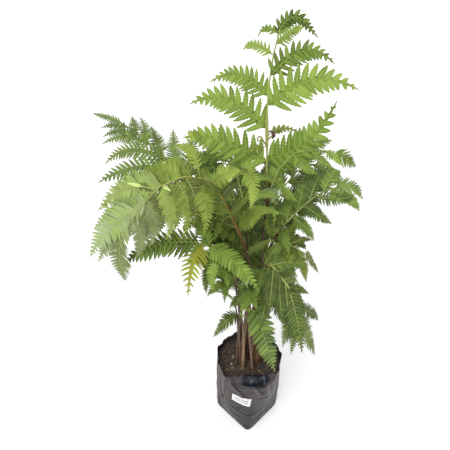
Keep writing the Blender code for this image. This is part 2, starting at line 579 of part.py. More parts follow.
class Frond:
    def __init__(self, name):
        spec = FRONDS[name]
        self.name, self.spec = name, spec
        x, y, z = spec["foot"]
        straight = [(x, y, z + rise) for rise in (0, *STRAIGHT_FOOT)]
        self.points, self.length = even_path(straight + [spot(*point) for point in spec["path"]])
        t = np.gradient(self.points, axis=0)
        self.tangents = t / np.linalg.norm(t, axis=1)[:, None]
        self.neck = self.share_at(spec["neck"], NECK_START)
        self.leafy = max(self.share_at(spec["leafy"], NECK_START), self.neck + 0.005 / self.length)
        ahead = self.points[-1] - self.at(self.points, self.neck)
        if "heading" in spec:
            bearing = math.radians(spec["heading"])
            ahead = np.array((math.cos(bearing), math.sin(bearing), 0))
        side = unit(np.array((ahead[1], -ahead[0], 0)))
        level = [unit(side - d * np.dot(side, d)) for d in self.tangents]
        self.sides = np.array([turned(v, d, spec["roll"]) for v, d in zip(level, self.tangents)])
        self.normals = np.cross(self.sides, self.tangents)
        self.shapes = []

    def share_at(self, pixel, start=0.0):
        """Share of the path at which it passes nearest to a place in the picture."""
        first = round(start * PATH_STEPS)
        away = [math.dist(pixel, in_picture(point)) for point in self.points[first:]]
        return (first + int(np.argmin(away))) / PATH_STEPS

    def at(self, rows, share):
        x = share * PATH_STEPS
        i = min(int(x), PATH_STEPS - 1)
        return rows[i] * (1 - x + i) + rows[i + 1] * (x - i)

    def radius(self, share):
        foot = OTHER_FEET.get(self.name, STALK_FOOT_RADIUS)
        neck = min(NECK_RADIUS, foot * 0.75)
        if share <= self.neck:
            return foot + (neck - foot) * (share / self.neck) ** 0.7
        return neck + (TIP_RADIUS - neck) * (share - self.neck) / (1 - self.neck)

    def stalk(self):
        bare = self.length * self.neck
        free = np.linspace(STALK_SEAT[-1] / bare, 1, max(4, round(bare / STALK_STEP)))[1:]
        return self.tube(np.concatenate([[s / bare for s in STALK_SEAT], free]) * self.neck, STALK_SIDES)

    def tube(self, shares, sides):
        return rod([self.at(self.points, s) for s in shares], [self.radius(s) for s in shares], sides,
                   np.array([self.at(self.tangents, s) for s in shares]))

    def rachis_shares(self):
        start = self.neck + SEAT_GAP / self.length
        end = min(self.leafy + 0.010 / self.length, 0.98)
        return np.linspace(start, end, max(3, round(self.length * (end - start) / RACHIS_STEP) + 1))

    def rachis(self):
        return self.tube(self.rachis_shares(), RACHIS_SIDES)

    def on_rachis(self, share):
        """Point on the axis of the built tube, which runs straight between its rings."""
        shares = self.rachis_shares()
        rings = np.array([self.at(self.points, s) for s in shares])
        return np.array([np.interp(share, shares, rings[:, k]) for k in range(3)])

    def end_blade(self, extra=0.0):
        span = self.length * (1 - self.leafy)
        curve = lambda v: self.at(self.points, self.leafy + v * (1 - self.leafy))
        pairs = max(3, round(span / END_PITCH))
        return blade(curve, self.at(self.normals, self.leafy), self.spec["end_width"], pairs, extra)

    def set_of(self, share, side, sweep=0.0, lift=0.0):
        """Direction in which a pinna leaves the rachis, and the size it has there."""
        spec = self.spec
        u = (share - self.neck) / (1 - self.neck)
        t, n = self.at(self.tangents, share), self.at(self.normals, share)
        out = self.at(self.sides, share) * side
        a, b = math.radians(spec["sweep"] + TIP_SWEEP * u + sweep), math.radians(spec["lift"] + lift)
        d = unit((out * math.cos(a) + t * math.sin(a)) * math.cos(b) + n * math.sin(b))
        return d, spec["pinna"] * (1 - u) ** 0.7 * (0.75 + u) / 0.81

    def face_of(self, share):
        """Normal of a pinna: the frond's own, turned part of the way to the viewer."""
        normal = self.at(self.normals, share)
        to_eye = unit(VIEW_EYE - self.at(self.points, share))
        return unit(normal + to_eye * FACE_SHARE * math.copysign(1, np.dot(to_eye, normal)))

    def seen_pinna(self, side, place, middle, tip):
        share = max(self.share_at(place, self.neck), self.neck + 0.010 / self.length)
        foot = self.on_rachis(share)
        d, size = self.set_of(share, side)
        end = onto(tip, foot + d * size * 0.84 - UP * size * 0.42)
        aim = end - foot
        length = np.linalg.norm(aim)
        halfway = onto(middle, (foot + end) / 2 + self.at(self.normals, share) * length * 0.08)
        c = 0.5 ** HOOK
        reach = (halfway - foot - c * aim) / (0.5 - c)
        return side, share, foot, reach, aim - reach, length, self.face_of(share), SEEN_PITCH

    def pinnae(self):
        """Rows of side, place, foot, reach, hook, length, face and spacing of the teeth."""
        spec = self.spec
        rows = [self.seen_pinna(*seen) for seen in spec["seen"]]
        taken = [row[:2] for row in rows]
        pitch = (self.leafy - self.neck) / max(spec["pairs"], 1)
        for i in range(spec["pairs"]):
            for side in (1, -1):
                rng = random.Random(f"{self.name}-{i}-{side}")
                share = self.neck + pitch * (i + 0.2 + (0.3 if side > 0 else 0))
                share = max(share, self.neck + 0.010 / self.length)
                d, size = self.set_of(share, side, rng.uniform(-5, 5), rng.uniform(-6, 6))
                length, droop = size * rng.uniform(0.93, 1.05), spec["droop"] * rng.uniform(0.8, 1.2)
                if any(s == side and abs(place - share) < 0.5 * pitch for s, place in taken):
                    continue
                fall = -UP * length * droop - d * length * 0.18
                rows.append((side, share, self.on_rachis(share), d * length * 1.02, fall, length,
                             self.face_of(share), FILL_PITCH))
        return rows


def blade(curve, normal, half_width, pairs, extra=0.0, bare=0.0):
    """Thin arched sheet cut to the rib: a strip with pairs of forward-leaning teeth, tapering to a tip."""
    thick = LEAF_THICK / 2 + extra / 2
    top, low, faces = [], [], []

    def station(v):
        p = curve(v)
        d = unit(curve(min(v + 0.02, 1)) - curve(max(v - 0.02, 0)))
        n = unit(normal_at(v) - d * np.dot(normal_at(v), d))
        return p, d, n, np.cross(d, n)

    vs = np.linspace(0, 1, 25)
    carried = [np.array(normal, float)]
    for v in vs[1:]:
        d = unit(curve(min(v + 0.02, 1)) - curve(max(v - 0.02, 0)))
        carried.append(unit(carried[-1] - d * np.dot(carried[-1], d)))

    def normal_at(v):
        return carried[min(int(round(v * 24)), 24)]

    def spread(v):
        return half_width * min(1, 0.75 + 1.2 * v) * (1 - v) ** 0.62

    def add(p, n):
        top.append(p + n * thick)
        low.append(p - n * thick)
        return len(top) - 1

    notches = []
    cuts = np.linspace(bare, 0.97, pairs + 1)
    for v in ([0] if bare else []) + list(cuts):
        p, d, n, across = station(v)
        c = max(COSTA[0] + (COSTA[1] - COSTA[0]) * v, NOTCH * spread(v) if v > bare else 0) + extra / 2
        notches.append((add(p + across * c, n), add(p - across * c, n)))
    p, d, n, across = station(1)
    tip = add(p, n)
    edges = [(notches[0][1], notches[0][0])]
    if bare:
        (l0, r0), (l1, r1) = notches[:2]
        faces += [(l0, r0, r1), (l0, r1, l1)]
        edges += [(l0, l1), (r1, r0)]
        notches = notches[1:]
    for k in range(pairs):
        v = cuts[k] + 0.72 * (cuts[k + 1] - cuts[k])
        p, d, n, across = station(v)
        w = max(spread(v), COSTA[0] + 0.0015) + extra / 2
        (l0, r0), (l1, r1) = notches[k], notches[k + 1]
        ahead = d * w * PINNULE_LEAN - n * w * 0.10
        left, right = add(p + across * w + ahead, n), add(p - across * w + ahead, n)
        faces += [(l0, r0, r1), (l0, r1, l1), (l0, l1, left), (r0, right, r1)]
        edges += [(l0, left), (left, l1), (r1, right), (right, r0)]
    l1, r1 = notches[-1]
    faces.append((l1, r1, tip))
    edges += [(l1, tip), (tip, r1)]
    m = len(top)
    solid_faces = [(c, b, a) for a, b, c in faces] + [(a + m, b + m, c + m) for a, b, c in faces]
    for a, b in edges:
        solid_faces += [(b, a, a + m), (b, a + m, b + m)]
    return top + low, solid_faces


def pinna_blade(row, frond, bend, scale, extra=0.0):
    side, share, foot, reach, fall, length, face, pitch = row
    t, n = frond.at(frond.tangents, share), frond.at(frond.normals, share)
    lift, swing = bend

    def swung(v):
        return turned(turned(v, t, lift * side), n, swing * side) * scale

    reach, fall, length = swung(reach), swung(fall), length * scale
    pairs = max(2, min(5, round(length / pitch)))
    curve = lambda v: foot + reach * v + fall * v ** HOOK
    start = unit(reach)
    normal = turned(turned(face, t, lift * side), n, swing * side)
    normal = unit(normal - start * np.dot(normal, start))
    return blade(curve, normal, length * PINNULE_REACH, pairs, extra, PINNA_STALK / length)


def crozier_shape(frond, place, bearing, rise, stalk, curl):
    """Young stalk that rolls in on itself at the top."""
    foot = frond.at(frond.points, place)
    a, b = math.radians(bearing), math.radians(rise)
    out = np.array((math.cos(a), math.sin(a), 0))
    points, radii = [], []
    for k in range(4):
        s = k / 4
        points.append(foot + out * stalk * s * math.cos(b) + UP * stalk * (s * math.sin(b) + 0.35 * s * s))
        radii.append(YOUNG_RADIUS)
    d = unit(points[-1] - points[-2])
    p = points[-1]
    inward = unit(np.cross(d, np.cross(UP, out)))
    if inward[2] > 0:
        inward = -inward
    for k in range(9):
        axis = np.cross(d, inward)
        p = p + d * curl * (1 - 0.075 * k) * math.radians(CURL_STEP)
        points.append(p)
        radii.append(YOUNG_RADIUS - 0.00008 * k)
        d, inward = turned(d, axis, CURL_STEP), turned(inward, axis, CURL_STEP)
        d = unit(d + unit(axis) * 0.16)
        inward = unit(inward - d * np.dot(inward, d))
    return rod(points, radii, 4)


def tree_of(shape):
    verts, faces = shape
    return BVHTree.FromPolygons([tuple(v) for v in verts], faces), np.min(verts, 0), np.max(verts, 0)


def touches(shape, others, owner):
    tree, low, high = tree_of(shape)
    for name, (other, lo, hi) in others:
        if name != owner and (low <= hi).all() and (lo <= high).all() and tree.overlap(other):
            return True
    return False


for old in list(bpy.data.objects):
    bpy.data.objects.remove(old)

bag_paint = material("bag_film", (0.045, 0.043, 0.046), 0.42)
label_paint = material("label_paper", (0.86, 0.86, 0.84), 0.55)
soil_paint = material("potting_soil", (0.035, 0.024, 0.018), 0.95)
trunk_paint = material("trunk_fibre", (0.16, 0.08, 0.035), 0.9)
stalk_paint = material("stalk_brown", (0.17, 0.085, 0.035), 0.6)
leaf_paint = material("leaf_green", (0.20, 0.36, 0.08), 0.5)

bag = bag_shape()
joined("bag", [bag] + [drain_cutter(*hole) for hole in DRAIN_HOLES], bag_paint, "DIFFERENCE")
label = label_shape()
solid("label", label, label_paint)

fronds = {name: Frond(name) for name in ORDER}
feet = {name: frond.points[0] for name, frond in fronds.items()}
in_soil = [name for name in ORDER if feet[name][2] < SOIL_TOP]
in_trunk = [name for name in ORDER if name not in in_soil]

holes = [bore(*TRUNK_PLACE, TRUNK_LEVELS[0][0] - SEAT_GAP, 0.23, TRUNK_LEVELS[1][1] + 0.0012, 16)]
for name in in_soil:
    x, y, z = feet[name]
    holes.append(bore(x, y, z - SEAT_GAP, 0.23, fronds[name].radius(0) * 1.08 + HOLE_ROOM, HOLE_SIDES))
joined("soil", [soil_shape()] + holes, soil_paint, "DIFFERENCE")

trunk = trunk_shapes()
sockets = []
for name in in_trunk:
    x, y, z = feet[name]
    sockets.append(bore(x, y, z - SEAT_GAP, 0.43, fronds[name].radius(0) * 1.08 + HOLE_ROOM, HOLE_SIDES))
whole = joined("trunk", trunk, trunk_paint)
ribbed = ([tuple(v.co) for v in whole.data.vertices], [tuple(p.vertices) for p in whole.data.polygons])
bpy.data.objects.remove(whole)
joined("trunk", [ribbed] + sockets, trunk_paint, "DIFFERENCE")

standing = [("bag", tree_of(bag)), ("trunk", tree_of(ribbed))]
for name in ORDER:
    frond = fronds[name]
    stalk = frond.stalk()
    solid(f"stalk_{name}", stalk, stalk_paint)
    frond.shapes = [frond.rachis(), frond.end_blade()]
    if name == "01":
        frond.shapes += [crozier_shape(frond, *young) for young in CROZIERS]
    standing.append(("stalk_" + name, tree_of(stalk)))
    standing += [(name, tree_of(shape)) for shape in frond.shapes]

for name in ORDER:
    frond = fronds[name]
    for row in frond.pinnae():
        for scale in SHORTER:
            for bend in BENDS:
                if not touches(pinna_blade(row, frond, bend, scale, CLEARANCE), standing, name):
                    break
            else:
                continue
            shape = pinna_blade(row, frond, bend, scale)
            frond.shapes.append(shape)
            standing.append((name, tree_of(shape)))
            break
    joined(f"frond_{name}", frond.shapes, leaf_paint)
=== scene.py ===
import math
import random
from contextlib import contextmanager

import bpy
import numpy as np
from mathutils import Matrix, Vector, noise
from mathutils.kdtree import KDTree


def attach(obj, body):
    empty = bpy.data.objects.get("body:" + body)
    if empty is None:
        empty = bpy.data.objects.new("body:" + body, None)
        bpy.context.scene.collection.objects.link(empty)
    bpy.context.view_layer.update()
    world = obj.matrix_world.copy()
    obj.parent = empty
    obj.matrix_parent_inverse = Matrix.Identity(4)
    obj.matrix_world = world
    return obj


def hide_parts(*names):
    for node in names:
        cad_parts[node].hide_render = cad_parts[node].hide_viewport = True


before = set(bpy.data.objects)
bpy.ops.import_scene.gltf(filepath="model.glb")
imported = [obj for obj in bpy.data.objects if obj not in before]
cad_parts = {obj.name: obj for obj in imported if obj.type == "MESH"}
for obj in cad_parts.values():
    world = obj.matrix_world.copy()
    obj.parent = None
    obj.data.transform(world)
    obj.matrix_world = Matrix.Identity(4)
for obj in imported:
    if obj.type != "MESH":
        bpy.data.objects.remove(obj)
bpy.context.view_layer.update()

body = "root"

# Potted tree fern: leaflets, ribs, stalks, trunk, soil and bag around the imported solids. Metres, Z up.

# One plan for each frond, with the same points and angles as its solid. Places are across and down in the
# picture; path has the depth y as well, and seen has the side, start, middle and tip of single pinnae.
# A plan leaves out what it shares with plainPlan.
plainPlan = {"pairs": 0, "lift": 4, "droop": 0.42, "roll": 0, "seen": ()}
frondPlans = {
    "01": {
        "foot": (0.015, 0.000, 0.392),
        "path": [
            (262, 250, 0.040), (266, 200, 0.060), (267, 160, 0.075), (267, 142, 0.082),
            (267, 114, 0.090), (269, 85, 0.100), (273, 58, 0.110), (277, 36, 0.115), (284, 23, 0.115),
            (296, 16, 0.110), (308, 26, 0.105), (318, 38, 0.100)],
        "neck": (266, 186), "leafy": (277, 34), "endWidth": 0.015,
        "pinna": 0.200, "sweep": 22, "lift": 12, "heading": 75,
        "seen": [
            (-1, (266, 164), (222, 141), (183, 138)), (1, (266, 160), (303, 144), (337, 101)),
            (-1, (266, 127), (231, 101), (190, 104)), (1, (268, 105), (307, 81), (359, 90)),
            (-1, (268, 96), (242, 76), (210, 82)), (1, (271, 74), (300, 52), (335, 64)),
            (-1, (271, 57), (256, 45), (243, 50)), (1, (275, 42), (290, 33), (304, 27)),
            (-1, (277, 34), (267, 28), (258, 37))]},
    "02": {
        "foot": (-0.015, -0.0005, 0.191),
        "path": [
            (241, 340, 0.008), (240, 300, 0.030), (234, 255, 0.060), (220, 212, 0.090),
            (200, 182, 0.120), (182, 172, 0.135), (169, 162, 0.145), (155, 148, 0.160),
            (143, 138, 0.170), (132, 129, 0.180), (120, 122, 0.185), (106, 117, 0.185),
            (92, 113, 0.180)],
        "neck": (210, 195), "leafy": (122, 123), "endWidth": 0.012,
        "pinna": 0.170, "sweep": 30, "lift": 6, "roll": -15,
        "seen": [
            (-1, (196, 180), (145, 180), (102, 209)), (-1, (181, 171), (138, 168), (98, 183)),
            (-1, (167, 160), (135, 150), (105, 164)), (-1, (153, 146), (128, 137), (102, 144)),
            (-1, (141, 136), (121, 131), (103, 137)), (-1, (130, 128), (115, 125), (101, 128)),
            (1, (205, 188), (214, 155), (222, 124)), (1, (190, 176), (192, 152), (191, 134)),
            (1, (174, 166), (174, 147), (173, 129)), (1, (160, 153), (156, 139), (151, 126)),
            (1, (148, 142), (145, 129), (140, 117)), (1, (137, 133), (134, 124), (132, 116))]},
    "03": {
        "foot": (-0.0165, -0.013, 0.191),
        "path": [
            (243, 345, -0.012), (248, 310, -0.014), (252, 280, -0.016), (249, 262, -0.020),
            (242, 240, -0.030), (230, 212, -0.045), (213, 184, -0.060), (200, 176, -0.070),
            (185, 176, -0.080), (167, 181, -0.090), (149, 196, -0.100), (134, 216, -0.108),
            (125, 232, -0.112), (119, 255, -0.115), (125, 281, -0.120)],
        "neck": (251, 266), "leafy": (122, 243), "endWidth": 0.030,
        "pinna": 0.180, "sweep": 30, "roll": -35,
        "seen": [
            (1, (203, 177), (190, 150), (170, 150)), (1, (185, 176), (158, 170), (130, 186)),
            (1, (162, 184), (128, 188), (98, 211)), (1, (148, 197), (118, 211), (93, 230)),
            (1, (137, 211), (110, 229), (90, 257)), (1, (129, 225), (112, 240), (98, 262)),
            (-1, (231, 212), (243, 200), (257, 189)), (-1, (210, 183), (223, 175), (241, 171)),
            (-1, (195, 175), (205, 200), (204, 235)), (-1, (177, 178), (188, 205), (183, 237)),
            (-1, (160, 185), (172, 212), (166, 240)), (-1, (148, 197), (155, 222), (149, 248)),
            (-1, (136, 213), (141, 238), (136, 258)), (1, (242, 241), (226, 232), (206, 232)),
            (-1, (249, 256), (261, 245), (275, 240)), (1, (249, 258), (233, 248), (214, 246)),
            (1, (231, 214), (215, 207), (198, 205)), (-1, (237, 229), (250, 218), (264, 212)),
            (1, (218, 191), (203, 190), (186, 196))]},
    "04": {
        "foot": (-0.0245, -0.007, 0.191),
        "path": [
            (240, 335, -0.004), (238, 300, -0.012), (230, 270, -0.030), (216, 250, -0.050),
            (200, 243, -0.065), (183, 242, -0.075), (165, 243, -0.083), (148, 250, -0.090),
            (134, 256, -0.093), (124, 264, -0.095)],
        "neck": (228, 268), "leafy": (198, 244), "endWidth": 0.030, "pairs": 2,
        "pinna": 0.100, "sweep": 26, "lift": 2, "droop": 0.35, "roll": -20,
        "seen": [
            (-1, (203, 245), (193, 263), (188, 296)), (-1, (214, 252), (211, 272), (213, 293)),
            (-1, (209, 248), (234, 262), (260, 293)), (1, (224, 258), (214, 238), (204, 224))]},
    "05": {
        "foot": (0.0246, 0.000, 0.392),
        "path": [
            (262, 290, 0.012), (263, 240, 0.020), (268, 200, 0.030), (278, 170, 0.040),
            (292, 154, 0.045), (308, 149, 0.045), (325, 150, 0.040), (342, 155, 0.030),
            (356, 167, 0.020)],
        "neck": (267, 205), "leafy": (335, 152), "endWidth": 0.022,
        "pinna": 0.120, "sweep": 24, "lift": 3, "droop": 0.35, "roll": 12,
        "seen": [
            (-1, (272, 184), (281, 161), (292, 141)), (-1, (284, 162), (298, 149), (312, 137)),
            (1, (275, 178), (284, 190), (298, 202)), (1, (292, 154), (304, 166), (318, 174)),
            (1, (308, 149), (322, 160), (333, 169)), (-1, (308, 149), (321, 143), (333, 140)),
            (1, (325, 150), (336, 158), (344, 168))]},
    "06": {
        "foot": (0.0198, -0.0083, 0.392),
        "path": [
            (263, 290, -0.016), (267, 255, -0.010), (280, 230, -0.018), (295, 214, -0.025),
            (310, 200, -0.030), (325, 190, -0.035), (343, 185, -0.040), (356, 188, -0.045),
            (363, 199, -0.050)],
        "neck": (276, 236), "leafy": (335, 187), "endWidth": 0.024, "pairs": 5,
        "pinna": 0.105, "sweep": 30, "droop": 0.30, "roll": 15,
        "seen": [
            (1, (292, 217), (305, 227), (314, 241)), (1, (303, 206), (318, 215), (332, 224)),
            (1, (316, 196), (337, 199), (355, 194))]},
    "07": {
        "foot": (0.039, -0.004, 0.191),
        "path": [
            (264, 330, -0.020), (264, 300, -0.034), (267, 270, -0.035), (278, 252, -0.050),
            (292, 244, -0.060), (304, 250, -0.068), (312, 262, -0.072), (319, 273, -0.076)],
        "neck": (268, 266), "leafy": (305, 251), "endWidth": 0.012, "pairs": 4,
        "pinna": 0.080, "sweep": 24, "droop": 0.25, "roll": 12,
        "seen": [
            (-1, (290, 245), (303, 239), (313, 241))]},
    "08": {
        "foot": (0.010, -0.0085, 0.392),
        "path": [
            (256, 305, -0.035), (259, 275, -0.060), (266, 262, -0.085), (277, 270, -0.110),
            (289, 288, -0.130), (299, 310, -0.145), (307, 333, -0.152), (315, 355, -0.155)],
        "neck": (262, 266), "leafy": (302, 320), "endWidth": 0.022, "pairs": 5,
        "pinna": 0.090, "sweep": 34, "lift": 0, "droop": 0.30, "roll": 10,
        "seen": [
            (1, (289, 288), (297, 320), (302, 353)), (-1, (284, 280), (293, 277), (300, 288)),
            (-1, (292, 294), (299, 298), (303, 308)), (1, (281, 275), (280, 300), (283, 325))]},
    "09": {
        "foot": (0.0065, -0.0335, 0.191),
        "path": [
            (250, 345, -0.040), (249, 325, -0.056), (250, 312, -0.070), (254, 311, -0.090),
            (259, 322, -0.105), (264, 337, -0.115), (269, 353, -0.120), (275, 372, -0.122)],
        "neck": (252, 311), "leafy": (252, 311), "endWidth": 0.030,
        "pinna": 0.100, "sweep": 28, "lift": 0},
    "10": {
        "foot": (0.005, -0.0002, 0.392),
        "path": [
            (248, 250, -0.002), (244, 205, -0.050), (238, 180, -0.075), (236, 170, -0.095),
            (244, 168, -0.115), (252, 176, -0.125), (254, 190, -0.133), (250, 211, -0.135)],
        "neck": (246, 236), "leafy": (236, 171), "endWidth": 0.024,
        "pinna": 0.105, "sweep": 20, "droop": 0.30,
        "seen": [
            (-1, (245, 212), (262, 214), (282, 224)), (-1, (243, 199), (262, 194), (284, 200)),
            (-1, (239, 186), (256, 178), (276, 182)), (-1, (237, 175), (250, 165), (268, 160)),
            (1, (238, 180), (228, 172), (215, 172))]},
    "11": {
        "foot": (-0.017, 0.0105, 0.191),
        "path": [
            (246, 300, 0.050), (243, 250, 0.085), (236, 205, 0.120), (226, 170, 0.150),
            (213, 148, 0.170), (200, 136, 0.185), (188, 130, 0.195)],
        "neck": (245, 285), "leafy": (207, 142), "endWidth": 0.010, "pairs": 6,
        "pinna": 0.145, "sweep": 22, "roll": -12},
    "12": {
        "foot": (0.0198, 0.0083, 0.392),
        "path": [
            (268, 245, 0.085), (276, 205, 0.110), (288, 180, 0.130), (302, 168, 0.140),
            (318, 164, 0.150), (334, 170, 0.155), (346, 182, 0.155)],
        "neck": (264, 280), "leafy": (325, 166), "endWidth": 0.014, "pairs": 5,
        "pinna": 0.145, "sweep": 24, "droop": 0.30, "roll": 15},
    "13": {
        "foot": (-0.0235, -0.019, 0.191),
        "path": [
            (240, 348, -0.020), (239, 330, -0.032), (240, 319, -0.050), (237, 315, -0.062),
            (227, 320, -0.074), (213, 337, -0.082)],
        "neck": (240, 317), "leafy": (240, 317), "endWidth": 0.020,
        "pinna": 0.045, "sweep": 25},
    "14": {
        "foot": (-0.0165, -0.0225, 0.191),
        "path": [
            (243.5, 332, -0.032), (238, 300, -0.038), (234, 275, -0.050), (226, 262, -0.075),
            (216, 262, -0.095), (211, 275, -0.110), (213, 292, -0.120)],
        "neck": (237, 286), "leafy": (216, 262), "endWidth": 0.012, "pairs": 5,
        "pinna": 0.105, "sweep": 24, "lift": 2, "droop": 0.32, "roll": -10,
        "seen": [
            (1, (226, 262), (236, 268), (246, 285))]},
    "15": {
        "foot": (0.010, 0.0088, 0.392),
        "path": [
            (252, 260, 0.095), (254, 225, 0.135), (256, 198, 0.175), (258, 180, 0.210),
            (258, 170, 0.245)],
        "neck": (251, 292), "leafy": (257, 185), "endWidth": 0.010, "pairs": 2,
        "pinna": 0.140, "sweep": 20, "lift": 2, "droop": 0.30},
    "16": {
        "foot": (0.0025, -0.0235, 0.191),
        "path": [
            (253, 335, -0.028), (256, 300, -0.055), (260, 284, -0.085), (267, 284, -0.112),
            (274, 295, -0.130), (280, 308, -0.138), (286, 324, -0.142)],
        "neck": (258, 290), "leafy": (272, 291), "endWidth": 0.022, "pairs": 5,
        "pinna": 0.100, "sweep": 30, "lift": 0, "droop": 0.35},
    "17": {
        "foot": (-0.0315, -0.014, 0.191),
        "path": [
            (238, 335, -0.010), (236.5, 312, -0.024), (234, 302, -0.040), (230, 296, -0.056),
            (225, 292, -0.076), (215, 292, -0.084)],
        "neck": (237, 301), "leafy": (237, 301), "endWidth": 0.022,
        "pinna": 0.045, "sweep": 25},
    "18": {
        "foot": (-0.007, 0.017, 0.191),
        "path": [
            (247, 318, 0.030), (243, 280, 0.046), (234, 240, 0.058), (220, 210, 0.066),
            (203, 194, 0.070), (184, 190, 0.070), (166, 197, 0.066), (152, 210, 0.060)],
        "neck": (240, 262), "leafy": (163, 199), "endWidth": 0.014, "pairs": 6,
        "pinna": 0.105, "sweep": 24, "droop": 0.36, "roll": -16},
    "19": {
        "foot": (-0.004, 0.006, 0.191),
        "path": [
            (250, 318, 0.016), (249, 285, 0.022), (246, 250, 0.024), (238, 226, 0.020),
            (225, 214, 0.012), (210, 212, 0.004), (195, 218, -0.004), (183, 230, -0.010)],
        "neck": (247, 262), "leafy": (193, 219), "endWidth": 0.012, "pairs": 5,
        "pinna": 0.095, "sweep": 24, "lift": 2, "droop": 0.36, "roll": -20},
}

frondShape = {
    "steps": 80,
    "straightFoot": (0.012, 0.030),
    "footRadius": 0.0034,
    "otherFeet": {"02": 0.0039, "03": 0.0042, "11": 0.0037, "07": 0.0028, "09": 0.0022, "10": 0.0026,
                  "13": 0.0022, "14": 0.0022, "16": 0.0022, "17": 0.0022, "18": 0.0028, "19": 0.0026},
    "neckRadius": 0.0022,
    "neckForFoot": 0.75,
    "tipRadius": 0.0009,
    "neckStart": 0.125,
    "leastBlade": 0.005,
    # the rachis starts just past the stalk and ends inside the blade at the end
    "rachisStep": 0.044,
    "rachisGap": 0.0003,
    "rachisPast": 0.010,
    "rachisMost": 0.98,
    "firstPinna": 0.010,
    "tipSweep": 26,
    "faceShare": 0.8,
    "hook": 2.6,
    "halfWidth": 0.19,  # of a pinna, for its length
    "bareStart": 0.0045,
    "bends": ((0, 0), (9, 0), (-9, 0), (0, 8), (0, -8), (17, 0), (-17, 0), (12, 12), (-12, 12), (12, -12),
              (-12, -12), (27, 0), (-27, 0), (24, 18), (-24, 18), (24, -18), (-24, -18), (40, 0), (-40, 0)),
    "shorter": (1.0, 0.82, 0.66, 0.5),
    "tipMatch": 0.0013,  # how near the solid's own tip has to lie
}
# finer pinnae between the solid's own: gaps that get them, their size, how far behind, share of the painted
# sheen
finerPinnae = {"gaps": (0.018, 0.09), "size": 0.86, "behind": 0.010, "bloom": 0.3}

leafletPlan = {
    "leastPairs": 5,
    "leastPitch": 0.0052,
    "pairShift": (0.35, 0.22),  # of the first leaflet, and between the two sides
    "lean": 24,  # degrees toward the pinna's tip
    "leanMore": 8,  # at the tip itself
    "leanChange": 4,
    "lift": (0.02, 0.16),
    "twist": 0.16,
    "reachChange": (0.92, 1.06),
    "halfWidth": 0.50,  # of a leaflet, for the pitch
    "widest": 0.42,  # of a leaflet, for its reach
    "narrowing": (0.55, 1.3),
    "spread": {"widening": 1.6, "power": 1.7, "tip": 0.9},
    "wing": 0.17,  # green along the rib that joins the leaflets, for their reach
    "wingLeast": 0.0006,
    "wingBelow": 0.0002,
    "wingAbove": 0.0003,
    "wingKeel": 0.0004,
    "ribTaper": 0.00075,
    "ribTip": 0.00022,
    "ribOver": 0.0001,
    "ribThick": 0.00022,
    "roof": 0.10,  # how far the edges hang below the rib
    "arch": 0.12,
    "sag": 0.06,
    "sickle": 0.10,
    "roll": 9,  # degrees by which a pinna's plane may turn
    "shadeChange": 0.17,
    "leafShadeChange": 0.13,
    "shadeAtTip": 0.10,
    "tone": (0.25, 1.6),
    "yellowFrom": 0.78,
    "yellowOver": 0.22,
    "outline": (2.9, 0.85),
    "lobeAhead": 0.6,
    "tipWidth": 0.02,
    "tipHeight": 0.2,
    "forms": {
        "large": {"lobes": 6, "cut": 0.17, "reach": 0.018},
        "middle": {"lobes": 5, "cut": 0.17, "reach": 0.009},
        "small": {"lobes": 3, "cut": 0.14, "reach": 0.0},
    },
}

view = {"focal": 466, "middle": 225, "frame": 450, "tilt": 39.3, "eye": (-0.062, -0.717, 1.244),
        "sensor": 36.0, "near": 0.01}
up = np.array((0, 0, 1.0))


def unit(v):
    return v / np.linalg.norm(v)


def turned(v, axis, degrees):
    a = math.radians(degrees)
    axis = unit(axis)
    return v * math.cos(a) + np.cross(axis, v) * math.sin(a) + axis * np.dot(axis, v) * (1 - math.cos(a))


def clearSelection():
    if bpy.context.object and bpy.context.object.mode != "OBJECT":
        bpy.ops.object.mode_set(mode="OBJECT")
    bpy.ops.object.select_all(action="DESELECT")


def activate(piece):
    clearSelection()
    piece.select_set(True)
    bpy.context.view_layer.objects.active = piece


def applyAll(piece):
    activate(piece)
    for mod in list(piece.modifiers):
        bpy.ops.object.modifier_apply(modifier=mod.name)


@contextmanager
def editing():
    # edit mode, with all of the active mesh selected
    bpy.ops.object.mode_set(mode="EDIT")
    bpy.ops.mesh.select_all(action="SELECT")
    yield
    bpy.ops.object.mode_set(mode="OBJECT")


def vertsOf(piece):
    co = np.empty(len(piece.data.vertices) * 3, np.float32)
    piece.data.vertices.foreach_get("co", co)
    return co.reshape(-1, 3)


def edgeEnds(mesh):
    ends = np.empty(len(mesh.edges) * 2, np.int32)
    mesh.edges.foreach_get("vertices", ends)
    return ends.reshape(-1, 2)


def giveValues(mesh, values):
    # one number at each point, for the materials
    for key, numbers in values.items():
        layer = mesh.attributes.new(key, "FLOAT", "POINT")
        layer.data.foreach_set("value", np.asarray(numbers, np.float32))


def pieceFrom(name, verts, faces, values):
    mesh = bpy.data.meshes.new(name)
    verts = np.asarray(verts, np.float32)
    sizes = np.array([len(f) for f in faces], np.int32)
    loops = np.array([i for f in faces for i in f], np.int32)
    mesh.vertices.add(len(verts))
    mesh.vertices.foreach_set("co", verts.ravel())
    mesh.loops.add(len(loops))
    mesh.loops.foreach_set("vertex_index", loops)
    mesh.polygons.add(len(sizes))
    mesh.polygons.foreach_set("loop_start", np.concatenate([[0], np.cumsum(sizes)[:-1]]).astype(np.int32))
    giveValues(mesh, values)
    mesh.update(calc_edges=True)
    mesh.validate()
    mesh.shade_smooth()
    if "spine" in values:
        # blades keep a crisp edge between their two faces
        rim = (np.asarray(values["spine"])[edgeEnds(mesh)] < 0.05).all(1)
        crisp = mesh.attributes.get("sharp_edge") or mesh.attributes.new("sharp_edge", "BOOLEAN", "EDGE")
        crisp.data.foreach_set("value", rim)
    piece = bpy.data.objects.new(name, mesh)
    bpy.context.scene.collection.objects.link(piece)
    return piece


